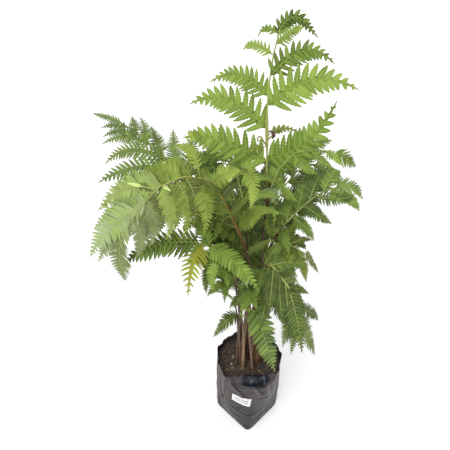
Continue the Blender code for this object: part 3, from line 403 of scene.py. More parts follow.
def finishPiece(piece, look, slot, *nodes):
    piece.data.materials.clear()
    piece.data.materials.append(look)
    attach(piece, body)
    if nodes:
        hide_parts(*nodes)


# shader helpers

class Nodes:
    def __init__(self, tree):
        self.tree = tree

    def add(self, kind, **settings):
        node = self.tree.nodes.new("ShaderNode" + kind)
        for key, value in settings.items():
            setattr(node, key, value)
        return node

    def put(self, socket, value):
        if isinstance(value, bpy.types.NodeSocket):
            self.tree.links.new(value, socket)
        elif isinstance(value, (tuple, list)) and len(value) == 3 and socket.type == "RGBA":
            socket.default_value = (*value, 1)
        else:
            socket.default_value = value

    def fill(self, sockets, values):
        for key, value in values.items():
            self.put(sockets[key], value)

    def value(self, name):
        return self.add("Attribute", attribute_name=name).outputs["Fac"]

    def place(self, scale=(1, 1, 1), turn=(0, 0, 0)):
        mapping = self.add("Mapping")
        self.put(mapping.inputs["Vector"], self.add("TexCoord").outputs["Object"])
        mapping.inputs["Scale"].default_value = scale
        mapping.inputs["Rotation"].default_value = [math.radians(a) for a in turn]
        return mapping.outputs["Vector"]

    def noise(self, where, scale, detail=3, rough=0.55):
        node = self.add("TexNoise")
        self.fill(node.inputs, {"Vector": where, "Scale": scale, "Detail": detail, "Roughness": rough})
        return node.outputs["Fac"]

    def math(self, operation, a, b=0.0):
        node = self.add("Math", operation=operation)
        self.fill(node.inputs, {0: a, 1: b})
        return node.outputs[0]

    def band(self, value, low, high, toLow=0.0, toHigh=1.0):
        node = self.add("MapRange", interpolation_type="SMOOTHSTEP")
        self.fill(node.inputs, {"Value": value, "From Min": low, "From Max": high,
                                "To Min": toLow, "To Max": toHigh})
        return node.outputs["Result"]

    def mix(self, amount, a, b):
        node = self.add("Mix", data_type="RGBA")
        self.fill(node.inputs, {0: amount, 6: a, 7: b})
        return node.outputs[2]

    def layer(self, color, mask, share, paint):
        # paint laid over the colour where the mask lets it through
        return self.mix(self.math("MULTIPLY", mask, share), color, paint)

    def bump(self, height, strength, distance):
        node = self.add("Bump")
        self.fill(node.inputs, {"Strength": strength, "Distance": distance, "Height": height})
        return node.outputs["Normal"]

    def group(self, made, **inputs):
        node = self.add("Group", node_tree=made)
        self.fill(node.inputs, inputs)
        return node.outputs

    def surface(self, color, rough, normal=None, specular=None):
        shader = self.tree.nodes["Principled BSDF"]
        given = {"Base Color": color, "Roughness": rough, "Normal": normal, "Specular IOR Level": specular}
        self.fill(shader.inputs, {key: value for key, value in given.items() if value is not None})
        return shader


def newMaterial(name):
    made = bpy.data.materials.new(name)
    made.use_nodes = True
    return made, Nodes(made.node_tree)


def newGroup(name, inputs, outputs):
    tree = bpy.data.node_groups.new(name, "ShaderNodeTree")
    for key, kind, value in inputs:
        socket = tree.interface.new_socket(key, in_out="INPUT", socket_type="NodeSocket" + kind)
        if value is not None:
            socket.default_value = value
    for key, kind in outputs:
        tree.interface.new_socket(key, in_out="OUTPUT", socket_type="NodeSocket" + kind)
    given, out = tree.nodes.new("NodeGroupInput").outputs, tree.nodes.new("NodeGroupOutput").inputs
    return tree, Nodes(tree), given, out


def mottleGroup():
    # slow blotches and fine specks, for colour that is never even
    tree, n, given, out = newGroup("mottle", (("Size", "Float", 30.0), ("Stretch", "Float", 1.0)),
                                   (("Blotch", "Float"), ("Speck", "Float")))
    stretch = n.add("CombineXYZ")
    n.fill(stretch.inputs, {0: 1.0, 1: 1.0, 2: given["Stretch"]})
    where = n.add("VectorMath", operation="MULTIPLY")
    n.fill(where.inputs, {0: n.add("TexCoord").outputs["Object"], 1: stretch.outputs[0]})
    n.put(out["Blotch"], n.band(n.noise(where.outputs[0], given["Size"], 3), 0.35, 0.65))
    fine = n.math("MULTIPLY", given["Size"], 9.0)
    n.put(out["Speck"], n.band(n.noise(where.outputs[0], fine, 2), 0.5, 0.72))
    return tree


mottle = mottleGroup()


# leaflets

leafColors = {
    "deep": (0.022, 0.042, 0.004),
    "fresh": (0.150, 0.245, 0.028),
    "lime": (0.330, 0.465, 0.080),
    "dull": (0.125, 0.185, 0.075),
    "sheen": (0.390, 0.490, 0.310),
    "under": (0.175, 0.250, 0.070),
    "rib": (0.360, 0.460, 0.130),
    "yellow": (0.600, 0.540, 0.040),
    "pale": (0.700, 0.820, 0.300),
}


def leafMaterial():
    made, n = newMaterial("leafBlade")
    shade, veinX, veinY = n.value("shade"), n.value("alongLeaf"), n.value("acrossLeaf")
    spots = n.group(mottle, Size=26.0, Stretch=1.0)
    # shade runs from deep to lime: partly the leaves' own tone, partly painted shade deep in the crown and
    # painted light on lit fronds
    color = n.mix(n.band(shade, 0.0, 0.5), leafColors["deep"], leafColors["fresh"])
    color = n.mix(n.band(shade, 0.5, 1.0), color, leafColors["lime"])
    # dull tone, painted sheen (a pale blue green standing for reflected light) and yellowing over the shade
    for key, paint in (("dull", "dull"), ("bloom", "sheen"), ("yellowing", "yellow")):
        color = n.mix(n.value(key), color, leafColors[paint])
    color = n.layer(color, spots["Blotch"], 0.30, leafColors["deep"])
    color = n.layer(color, n.value("tone"), 0.60, leafColors["lime"])
    color = n.mix(n.value("pale"), color, leafColors["pale"])
    color = n.mix(n.band(n.value("upper"), 0.02, -0.25, 0.0, 0.75), color, leafColors["under"])
    color = n.mix(n.band(n.value("spine"), 0.72, 0.98, 0.0, 0.55), color, leafColors["rib"])
    # side veins run out and forward from the rib
    slant = n.math("SUBTRACT", veinX, n.math("MULTIPLY", veinY, 0.16))
    vein = n.band(n.math("SINE", n.math("MULTIPLY", slant, 88.0)), 0.55, 1.0)
    color = n.layer(color, vein, 0.16, leafColors["rib"])
    height = n.math("SUBTRACT", n.math("MULTIPLY", spots["Speck"], 0.3), vein)
    n.surface(color, n.band(n.value("bloom"), 0.0, 1.0, 0.46, 0.36), n.bump(height, 0.35, 0.0006), 0.16)
    return made


ribColors = {
    "green": (0.365, 0.455, 0.140),
    "gold": (0.520, 0.400, 0.060),
    "brown": (0.130, 0.042, 0.014),
    "blotch": (0.160, 0.170, 0.040),
    "speck": (0.110, 0.060, 0.020),
}


def ribMaterial():
    made, n = newMaterial("ribGreen")
    spots = n.group(mottle, Size=45.0, Stretch=0.3)
    color = n.mix(n.value("gold"), ribColors["green"], ribColors["gold"])
    color = n.mix(n.value("brown"), color, ribColors["brown"])
    color = n.layer(color, spots["Blotch"], 0.25, ribColors["blotch"])
    color = n.layer(color, spots["Speck"], 0.25, ribColors["speck"])
    n.surface(color, 0.48, n.bump(spots["Speck"], 0.4, 0.0006), 0.25)
    return made


def pinnuleForm(form):
    # a four-sided ring drawn out along X, then pinched at each notch
    clearSelection()
    bpy.ops.mesh.primitive_circle_add(vertices=4, radius=1, fill_type="NGON", rotation=(0, math.pi / 2, 0))
    blank = bpy.context.object
    bpy.ops.object.transform_apply(rotation=True)
    stations = form["lobes"] * 2
    with editing():
        for _ in range(stations):
            bpy.ops.mesh.extrude_region_move(TRANSFORM_OT_translate={"value": (1 / stations, 0, 0)})
        bpy.ops.mesh.select_all(action="SELECT")
        bpy.ops.mesh.normals_make_consistent(inside=False)
    x, y, z = vertsOf(blank).T.astype(float)
    step = np.round(x * stations).astype(int)
    power, tip = leafletPlan["outline"]
    outline = (1 - np.clip(x, 0, 1) ** power) ** tip
    notch = (step % 2 == 0) & (step > 0) & (step < stations)
    width = outline * np.where(notch, 1 - form["cut"], 1.0)
    width = np.where(step == stations, leafletPlan["tipWidth"], width)
    edge = np.abs(y) > 0.5
    ahead = np.where(edge & ~notch & (step < stations), leafletPlan["lobeAhead"] / stations, 0)
    shape = {
        "x": np.minimum(x + ahead, 1.0),
        "y": np.sign(np.round(y)) * edge * width,
        "z": np.sign(np.round(z)) * ~edge * np.where(step == stations, leafletPlan["tipHeight"], 1.0),
        "spine": 1.0 - edge,
        "faces": [tuple(f.vertices) for f in blank.data.polygons],
        "reach": form["reach"],
    }
    bpy.data.objects.remove(blank)
    return shape


def evenPath(points):
    pts = np.array(points, float)
    at = np.concatenate([[0], np.cumsum(np.linalg.norm(np.diff(pts, axis=0), axis=1))])
    n = len(pts)
    slope = [(pts[min(i + 1, n - 1)] - pts[max(i - 1, 0)]) / (at[min(i + 1, n - 1)] - at[max(i - 1, 0)])
             for i in range(n)]
    fine = []
    for i in range(n - 1):
        h = at[i + 1] - at[i]
        for s in np.linspace(0, 1, 8, endpoint=False):
            fine.append((2 * s ** 3 - 3 * s * s + 1) * pts[i] + (s ** 3 - 2 * s * s + s) * h * slope[i]
                        + (3 * s * s - 2 * s ** 3) * pts[i + 1] + (s ** 3 - s * s) * h * slope[i + 1])
    fine = np.array(fine + [pts[-1]])
    run = np.concatenate([[0], np.cumsum(np.linalg.norm(np.diff(fine, axis=0), axis=1))])
    even = np.linspace(0, run[-1], frondShape["steps"] + 1)
    return np.stack([np.interp(even, run, fine[:, k]) for k in range(3)], 1), run[-1]


def at(rows, share):
    x = share * frondShape["steps"]
    i = min(int(x), frondShape["steps"] - 1)
    return rows[i] * (1 - x + i) + rows[i + 1] * (x - i)


def sight(across, down):
    tilt = math.radians(view["tilt"])
    ahead = np.array((0, math.cos(tilt), -math.sin(tilt)))
    above = np.array((0, math.sin(tilt), math.cos(tilt)))
    right = np.array((1.0, 0, 0))
    return ahead + (right * (across - view["middle"]) - above * (down - view["middle"])) / view["focal"]


def spot(across, down, depth):
    # the point seen at a place in the picture, at the depth y
    ray = sight(across, down)
    return np.array(view["eye"]) + ray * (depth - view["eye"][1]) / ray[1]


def onto(pixel, point):
    # the point moved straight across onto the line of sight through the pixel
    ray = unit(sight(*pixel))
    return np.array(view["eye"]) + ray * np.dot(point - view["eye"], ray)


def inPicture(point):
    tilt = math.radians(view["tilt"])
    x, y, z = point - view["eye"]
    depth = y * math.cos(tilt) - z * math.sin(tilt)
    height = y * math.sin(tilt) + z * math.cos(tilt)
    return view["middle"] + view["focal"] * x / depth, view["middle"] - view["focal"] * height / depth


def shareAt(points, pixel, start):
    first = round(start * frondShape["steps"])
    away = [math.dist(pixel, inPicture(point)) for point in points[first:]]
    return (first + int(np.argmin(away))) / frondShape["steps"]


def readFrond(name):
    plan = {**plainPlan, **frondPlans[name]}
    x, y, z = plan["foot"]
    straight = [(x, y, z + rise) for rise in (0, *frondShape["straightFoot"])]
    points, length = evenPath(straight + [spot(*point) for point in plan["path"]])
    tangents = np.gradient(points, axis=0)
    tangents /= np.linalg.norm(tangents, axis=1)[:, None]
    neck = shareAt(points, plan["neck"], frondShape["neckStart"])
    leafy = shareAt(points, plan["leafy"], frondShape["neckStart"])
    leafy = max(leafy, neck + frondShape["leastBlade"] / length)
    ahead = points[-1] - at(points, neck)
    if "heading" in plan:
        bearing = math.radians(plan["heading"])
        ahead = np.array((math.cos(bearing), math.sin(bearing), 0))
    side = unit(np.array((ahead[1], -ahead[0], 0)))
    sides = np.array([turned(unit(side - d * np.dot(side, d)), d, plan["roll"]) for d in tangents])
    return {"name": name, "plan": plan, "points": points, "length": length, "tangents": tangents,
            "sides": sides, "normals": np.cross(sides, tangents), "neck": neck, "leafy": leafy}


def stemRadius(frond, share):
    foot = frondShape["otherFeet"].get(frond["name"], frondShape["footRadius"])
    neck = min(frondShape["neckRadius"], foot * frondShape["neckForFoot"])
    if share <= frond["neck"]:
        return foot + (neck - foot) * (share / frond["neck"]) ** 0.7
    return neck + (frondShape["tipRadius"] - neck) * (share - frond["neck"]) / (1 - frond["neck"])


def rachisEnds(frond):
    start = frond["neck"] + frondShape["rachisGap"] / frond["length"]
    end = frond["leafy"] + frondShape["rachisPast"] / frond["length"]
    return start, min(end, frondShape["rachisMost"])


def onRachis(frond, share):
    # the solid's rachis runs straight between its rings
    start, end = rachisEnds(frond)
    count = max(3, round(frond["length"] * (end - start) / frondShape["rachisStep"]) + 1)
    shares = np.linspace(start, end, count)
    rings = np.array([at(frond["points"], s) for s in shares])
    return np.array([np.interp(share, shares, rings[:, k]) for k in range(3)])


def setOf(frond, share, side, sweep=0.0, lift=0.0):
    # direction in which a pinna leaves the rachis, and its length there
    plan = frond["plan"]
    u = (share - frond["neck"]) / (1 - frond["neck"])
    t, n = at(frond["tangents"], share), at(frond["normals"], share)
    out = at(frond["sides"], share) * side
    a = math.radians(plan["sweep"] + frondShape["tipSweep"] * u + sweep)
    b = math.radians(plan["lift"] + lift)
    d = unit((out * math.cos(a) + t * math.sin(a)) * math.cos(b) + n * math.sin(b))
    # longest a quarter of the way up the blade
    return d, plan["pinna"] * (1 - u) ** 0.7 * (0.75 + u) / 0.81


def faceOf(frond, share):
    normal = at(frond["normals"], share)
    toEye = unit(view["eye"] - at(frond["points"], share))
    return unit(normal + toEye * frondShape["faceShare"] * math.copysign(1, np.dot(toEye, normal)))


def seenPinna(frond, side, place, middle, tip):
    first = frond["neck"] + frondShape["firstPinna"] / frond["length"]
    share = max(shareAt(frond["points"], place, frond["neck"]), first)
    foot = onRachis(frond, share)
    d, size = setOf(frond, share, side)
    end = onto(tip, foot + d * size * 0.84 - up * size * 0.42)
    aim = end - foot
    length = np.linalg.norm(aim)
    halfway = onto(middle, (foot + end) / 2 + at(frond["normals"], share) * length * 0.08)
    c = 0.5 ** frondShape["hook"]
    reach = (halfway - foot - c * aim) / (0.5 - c)
    return side, share, foot, reach, aim - reach, length


def pinnaRows(frond):
    plan, neck, leafy = frond["plan"], frond["neck"], frond["leafy"]
    rows = [seenPinna(frond, *seen) for seen in plan["seen"]]
    taken = [row[:2] for row in rows]
    pitch = (leafy - neck) / max(plan["pairs"], 1)
    for i in range(plan["pairs"]):
        for side in (1, -1):
            rng = random.Random(f"{frond['name']}-{i}-{side}")
            share = neck + pitch * (i + 0.2 + (0.3 if side > 0 else 0))
            share = max(share, neck + frondShape["firstPinna"] / frond["length"])
            d, size = setOf(frond, share, side, rng.uniform(-5, 5), rng.uniform(-6, 6))
            length, droop = size * rng.uniform(0.93, 1.05), plan["droop"] * rng.uniform(0.8, 1.2)
            if any(s == side and abs(place - share) < 0.5 * pitch for s, place in taken):
                continue
            fall = -up * length * droop - d * length * 0.18
            rows.append((side, share, onRachis(frond, share), d * length * 1.02, fall, length))
    return rows


def swungPinna(frond, row, scale=1.0, swung=lambda v: v):
    # a pinna's row turned and shortened, with the normal of its blade
    side, share, foot, reach, fall, length = row
    start, normal = unit(swung(reach)), swung(faceOf(frond, share))
    return {"side": side, "share": share, "foot": foot, "reach": swung(reach) * scale,
            "fall": swung(fall) * scale, "normal": unit(normal - start * np.dot(normal, start)),
            "length": length * scale}


def settledPinna(frond, row, solidTips):
    # the bend and size whose tip the solid really has; none if the solid left this pinna out
    side, share, foot, reach, fall, _ = row
    t, n = at(frond["tangents"], share), at(frond["normals"], share)
    for scale in frondShape["shorter"]:
        for lift, swing in frondShape["bends"]:
            def swung(v):
                return turned(turned(v, t, lift * side), n, swing * side)
            tip = foot + (swung(reach) + swung(fall)) * scale
            if solidTips.find(Vector(tip))[2] < frondShape["tipMatch"]:
                return swungPinna(frond, row, scale, swung)
    return None


def carriedFrames(curve, normal, count=40):
    vs = np.linspace(0, 1, count + 1)
    points = np.array([curve(v) for v in vs])
    ahead = np.gradient(points, axis=0)
    ahead /= np.linalg.norm(ahead, axis=1)[:, None]
    normals = [unit(normal - ahead[0] * np.dot(normal, ahead[0]))]
    for d in ahead[1:]:
        normals.append(unit(normals[-1] - d * np.dot(normals[-1], d)))
    return vs, points, ahead, np.array(normals)


def tube(points, radii, sides, tangents=None, start=None):
    points = np.asarray(points, float)
    if tangents is None:
        tangents = np.gradient(points, axis=0)
    tangents = tangents / np.linalg.norm(tangents, axis=1)[:, None]
    across = np.cross(tangents[0], (0.31, 0.83, 0.11)) if start is None else np.asarray(start, float)
    rings = []
    for p, t, r in zip(points, tangents, radii):
        across = unit(across - t * np.dot(across, t))
        up = np.cross(t, across)
        angles = np.arange(sides) * 2 * math.pi / sides
        rings.append(p + r * (np.outer(np.cos(angles), across) + np.outer(np.sin(angles), up)))
    verts = np.concatenate(rings)
    faces = []
    for k in range(len(points) - 1):
        for i in range(sides):
            j = (i + 1) % sides
            faces.append((k * sides + i, k * sides + j, (k + 1) * sides + j, (k + 1) * sides + i))
    faces.append(tuple(reversed(range(sides))))
    faces.append(tuple(range((len(points) - 1) * sides, len(points) * sides)))
    return verts, faces


class Gather:
    # many small closed shapes in one mesh, with their point values
    def __init__(self, *keys):
        self.verts, self.faces, self.values, self.count = [], [], {key: [] for key in keys}, 0

    def add(self, verts, faces, **values):
        self.verts.append(verts)
        self.faces += [tuple(i + self.count for i in f) for f in faces]
        self.count += len(verts)
        for key, rows in self.values.items():
            rows.append(np.broadcast_to(np.asarray(values.get(key, 0.0), float), (len(verts),)))

    def piece(self, name):
        joined = {key: np.concatenate(rows) for key, rows in self.values.items()}
        return pieceFrom(name, np.concatenate(self.verts), self.faces, joined)


leafKeys = ("shade", "tone", "spine", "alongLeaf", "acrossLeaf", "dull", "bloom", "yellowing", "pale",
            "upper")


def feather(leaves, ribs, forms, curve, normal, length, halfWidth, bare, look, seed):
    # one pinna, or the end of a frond: a rib with paired leaflets that shrink toward the tip
    plan, rng = leafletPlan, random.Random(seed)
    start = unit(curve(0.05) - curve(0.0))
    normal = turned(normal, start, rng.gauss(0, plan["roll"]))
    vs, points, ahead, normals = carriedFrames(curve, normal)
    shade = look["shade"] + rng.gauss(0, plan["shadeChange"] * look["vary"])
    ribRadius = [plan["ribTaper"] * (1 - v) + plan["ribTip"] for v in vs[::4]]
    verts, faces = tube(points[::4] + normals[::4] * plan["ribOver"], ribRadius, 5, ahead[::4],
                        np.cross(ahead[0], normals[0]))
    ribs.add(verts, faces, gold=look["ribGold"], brown=look["ribBrown"])
    span = length * (1 - bare)
    pairs = max(plan["leastPairs"], min(look["pairs"], round(span / plan["leastPitch"])))
    pitch = span / pairs

    def spreadAt(v):
        spread = plan["spread"]
        widening = min(1, look["baseWidth"] + spread["widening"] * v)
        return halfWidth * widening * (1 - v ** spread["power"]) ** spread["tip"]

    # the narrow green wing along the rib
    wing = np.array([spreadAt(v) * plan["wing"] * look["wing"] * (v > bare) + plan["wingLeast"]
                     for v in vs[::2]])
    stations = len(wing)
    p, d, n = points[::2], ahead[::2], normals[::2]
    a = np.cross(d, n) * wing[:, None]
    rings = np.stack([p + a - n * plan["wingBelow"], p + n * plan["wingAbove"], p - a - n * plan["wingBelow"],
                      p - n * plan["wingKeel"]], 1).reshape(-1, 3)
    faces = [(k * 4 + i, k * 4 + (i + 1) % 4, k * 4 + 4 + (i + 1) % 4, k * 4 + 4 + i)
             for k in range(stations - 1) for i in range(4)]
    faces += [(3, 2, 1, 0), tuple(range(stations * 4 - 4, stations * 4))]
    faces = [tuple(reversed(face)) for face in faces]
    same = {"dull": look["dull"], "bloom": look["bloom"]}
    leaves.add(rings, faces, shade=shade, tone=0.1, spine=np.tile((0.0, 0.5, 0.0, 0.5), stations),
               alongLeaf=0.02, acrossLeaf=0.1, yellowing=look["yellowing"],
               upper=np.tile((0.0, 1.0, 0.0, -1.0), stations), **same)
    first, between = plan["pairShift"]
    toneLeast, toneMore = plan["tone"]
    narrow, narrowing = plan["narrowing"]
    for k in range(pairs):
        for side in (1, -1):
            v = bare + (1 - bare) * ((k + first + (between if side > 0 else 0)) / (pairs + 0.25)) ** 0.97
            spread = spreadAt(v)
            p, d, n = (np.array([np.interp(v, vs, rows[:, c]) for c in range(3)])
                       for rows in (points, ahead, normals))
            n = unit(n - d * np.dot(n, d))
            a = np.cross(d, n) * side
            angle = math.radians(plan["lean"] + plan["leanMore"] * v
                                 + rng.uniform(-plan["leanChange"], plan["leanChange"]))
            lift = rng.uniform(*plan["lift"])
            e = unit(a * math.cos(angle) + d * math.sin(angle) + n * lift)
            f = unit(d * math.cos(angle) - a * math.sin(angle))
            f = unit(f - e * np.dot(f, e))
            up = np.cross(e, f) * side
            twist = rng.uniform(-plan["twist"], plan["twist"])
            f, up = f * math.cos(twist) + up * math.sin(twist), up * math.cos(twist) - f * math.sin(twist)
            reach = spread / math.cos(angle) * rng.uniform(*plan["reachChange"])
            form = next(shape for shape in forms.values() if reach >= shape["reach"])
            wide = plan["halfWidth"] * look["slender"] * pitch * min(1, narrow + narrowing * (1 - v))
            wide = min(wide, reach * plan["widest"])
            x, y = form["x"], form["y"]
            bend = x * x * reach
            verts = (p + np.outer(x * reach, e) + np.outer(y * wide, f)
                     + np.outer(form["z"] * plan["ribThick"], up)
                     - np.outer(np.abs(y) * wide * plan["roof"] + bend * plan["arch"], n)
                     + np.outer(bend * plan["sickle"], d) - np.outer(bend * plan["sag"], (0, 0, 1)))
            faces = form["faces"] if side > 0 else [tuple(reversed(face)) for face in form["faces"]]
            change = rng.uniform(-plan["leafShadeChange"], plan["leafShadeChange"])
            tone = rng.random() ** 2 * min(1, toneLeast + toneMore * max(shade, 0))
            yellow = look["tipYellow"] * max(0, v - plan["yellowFrom"]) / plan["yellowOver"]
            leaves.add(verts, faces, shade=shade + change + plan["shadeAtTip"] * v, tone=tone,
                       spine=form["spine"], alongLeaf=x, acrossLeaf=np.abs(y), upper=form["z"],
                       yellowing=look["yellowing"] + yellow, **same)


def pinnaeBetween(frond, pinnae, count):
    # finer pinnae between the solid's own, each halfway in place, aim and size
    added = []
    least, most = finerPinnae["gaps"]
    size = finerPinnae["size"]
    for side in (1, -1):
        row = sorted((p for p in pinnae if p["side"] == side), key=lambda p: p["share"])
        for a, b in zip(row, row[1:]):
            gap = (b["share"] - a["share"]) * frond["length"]
            for k in range(count if least < gap < most else 0):
                w = (k + 1) / (count + 1)
                share = a["share"] + (b["share"] - a["share"]) * w
                mixed = {key: a[key] * (1 - w) + b[key] * w for key in ("reach", "fall", "normal", "length")}
                normal = unit(mixed["normal"])
                added.append({"side": side, "share": share, "foot": onRachis(frond, share), "under": True,
                              "reach": mixed["reach"] * size - normal * finerPinnae["behind"],
                              "fall": mixed["fall"] * size, "normal": normal,
                              "length": mixed["length"] * size})
    return added


def buildFrond(name, forms, leafLook, ribLook):
    frond = readFrond(name)
    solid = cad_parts["frond_" + name]
    solidTips = KDTree(len(solid.data.vertices))
    for i, v in enumerate(solid.data.vertices):
        solidTips.insert(v.co, i)
    solidTips.balance()
    look = {**plainLook, **frondLooks.get(name, {})}
    leaves, ribs = Gather(*leafKeys), Gather("gold", "brown")

    start, stop = rachisEnds(frond)
    shares = np.linspace(start, stop, max(6, round(frond["length"] * (stop - start) / rachis["step"])))
    points = [onRachis(frond, s) + unit(view["eye"] - at(frond["points"], s)) * look["rise"] for s in shares]
    radii = [stemRadius(frond, s) * f for s, f in zip(shares, np.linspace(*look["slim"], len(shares)))]
    if look["thick"]:
        # swollen between two places in the picture
        high, low, more = look["thick"]
        ends = shareAt(frond["points"], high, frond["neck"]), shareAt(frond["points"], low, frond["neck"])
        middle, half = sum(ends) / 2, abs(ends[0] - ends[1]) / 2
        radii = [r * (1 + more * max(0, 1 - ((s - middle) / half) ** 2)) for r, s in zip(radii, shares)]
    tangents = np.array([at(frond["tangents"], s) for s in shares])
    verts, faces = tube(points, radii, rachis["sides"], tangents)
    green = np.repeat(np.linspace(0, 1, len(shares)), rachis["sides"])
    brown = np.clip(1 - (green / look["brownTo"]) ** 2, 0, 1) * look["brownStart"]
    ribs.add(verts, faces, gold=look["gold"] * (1 - rachis["goldFades"] * green), brown=brown)

    rows = pinnaRows(frond)
    pinnae = [pinna for pinna in (settledPinna(frond, row, solidTips) for row in rows) if pinna]
    missed = len(rows) - len(pinnae)
    pinnae += pinnaeBetween(frond, pinnae, look["between"])
    # pinnae deep in the crown, seen through the outer ones
    pinnae += [swungPinna(frond, seenPinna(frond, *seen)) for seen in look["extra"]]
    for i, pinna in enumerate(pinnae):
        foot, reach, fall, hook = pinna["foot"], pinna["reach"], pinna["fall"], frondShape["hook"]
        # the blade turns somewhat toward the light in front
        toEye = unit(view["eye"] - foot)
        normal = pinna["normal"] * math.copysign(1, np.dot(toEye, pinna["normal"]))
        normal = unit(normal + toEye * look["facing"])
        own = {**look, **look["pinnaLooks"].get(i, {})}
        most = look["bloom"] * (look["hangingPaintedSheen"] if pinna["side"] < 0 else 1)
        own["bloom"] = most * min(1, max(0, (pinna["share"] - look["paintedSheenFrom"]) / look["paintedSheenOver"]))
        # pinnae under the others get painted shade and less painted sheen
        if pinna.get("under"):
            own["shade"], own["bloom"] = own["shade"] - look["underPaintedShade"], own["bloom"] * finerPinnae["bloom"]
        if pinna["share"] > look["clearTo"]:
            own.update(look["clearLook"])
        feather(leaves, ribs, forms, lambda v: foot + reach * v + fall * v ** hook, normal, pinna["length"],
                pinna["length"] * frondShape["halfWidth"] * own["spread"],
                frondShape["bareStart"] * own["bare"] / pinna["length"], own, f"{name}-{i}")
    leafy = frond["leafy"]
    feather(leaves, ribs, forms, lambda v: at(frond["points"], leafy + v * (1 - leafy)),
            at(frond["normals"], leafy), frond["length"] * (1 - leafy), frond["plan"]["endWidth"], 0.0,
            {**look, **look["endLook"]}, name + "-end")

    for row in croziers["rows"].get(name, ()):
        verts, faces = crozier(frond, *row)
        ribs.add(verts, faces, gold=croziers["gold"], brown=croziers["brown"])
    finishPiece(leaves.piece("leaflets" + name), leafLook, "leaf_green", "frond_" + name)
    finishPiece(ribs.piece("ribs" + name), ribLook, "leaf_green", "frond_" + name)
    if missed:
        print("frond", name, "pinnae left out as in its solid:", missed)
    return len(leaves.faces)


def crozier(frond, place, bearing, rise, stalk, curl):
    # a young rolled frond: a short stalk, then a coil that tightens
    foot = at(frond["points"], place)
    a, b = math.radians(bearing), math.radians(rise)
    out = np.array((math.cos(a), math.sin(a), 0))
    thick, straight, turn = croziers["radius"], croziers["straight"], croziers["turn"]
    points, radii = [], [thick] * straight
    for k in range(straight):
        s = k / straight
        lift = s * math.sin(b) + croziers["rise"] * s * s
        points.append(foot + out * stalk * s * math.cos(b) + up * stalk * lift)
    d = unit(points[-1] - points[-2])
    p = points[-1]
    inward = unit(np.cross(d, np.cross(up, out)))
    if inward[2] > 0:
        inward = -inward
    for k in range(croziers["coils"]):
        axis = np.cross(d, inward)
        p = p + d * curl * (1 - croziers["tighter"] * k) * math.radians(turn)
        points.append(p)
        radii.append(thick - croziers["thinner"] * k)
        d, inward = turned(d, axis, turn), turned(inward, axis, turn)
        d = unit(d + unit(axis) * croziers["aside"])
        inward = unit(inward - d * np.dot(inward, d))
    return tube(points, radii, croziers["sides"])


rachis = {"step": 0.012, "sides": 8, "goldFades": 0.8}
# rows: place on the frond, bearing, rise, length of the stalk, radius of the coil
croziers = {
    "radius": 0.0017, "thinner": 0.000027, "straight": 4, "rise": 0.35, "coils": 27, "turn": 13.3,
    "tighter": 0.025, "aside": 0.052, "sides": 7, "gold": 0.4, "brown": 0.25,
    "rows": {"01": ((0.575, 200, 50, 0.026, 0.0060), (0.592, 10, 34, 0.030, 0.0052))},
}

plainLook = {
    # leaflets: 0 is dark and 1 is lime for shade, partly the leaves' own tone and partly painted shade on
    # fronds deep in the crown and painted light on lit ones; the others are shares of their colours
    "shade": 0.45, "dull": 0.0, "bloom": 0.0, "yellowing": 0.0, "pale": 0.0, "tipYellow": 0.0, "vary": 1.0,
    "pairs": 17, "spread": 1.0, "slender": 1.0, "wing": 1.0, "bare": 1.0, "baseWidth": 0.8,
    "facing": 0.5,  # turned to the viewer
    # painted sheen from a share of the frond on, and its share on the hanging side
    "paintedSheenFrom": 0.0, "paintedSheenOver": 0.08, "hangingPaintedSheen": 1.0,
    # ribs, and the rachis with its brown foot
    "ribGold": 0.1, "ribBrown": 0.0, "gold": 0.2, "brownStart": 1.0, "brownTo": 0.25,
    "rise": 0.0, "slim": (1.0, 1.0), "thick": None,
    # finer pinnae between the solid's own with the painted shade they get, and others deep in the crown
    "between": 0, "underPaintedShade": 0.08, "extra": (),
    # past this share the leaflets start closer to the rachis
    "clearTo": 1.0, "clearLook": {"bare": 0.9, "baseWidth": 0.75},
    "endLook": {}, "pinnaLooks": {},
}
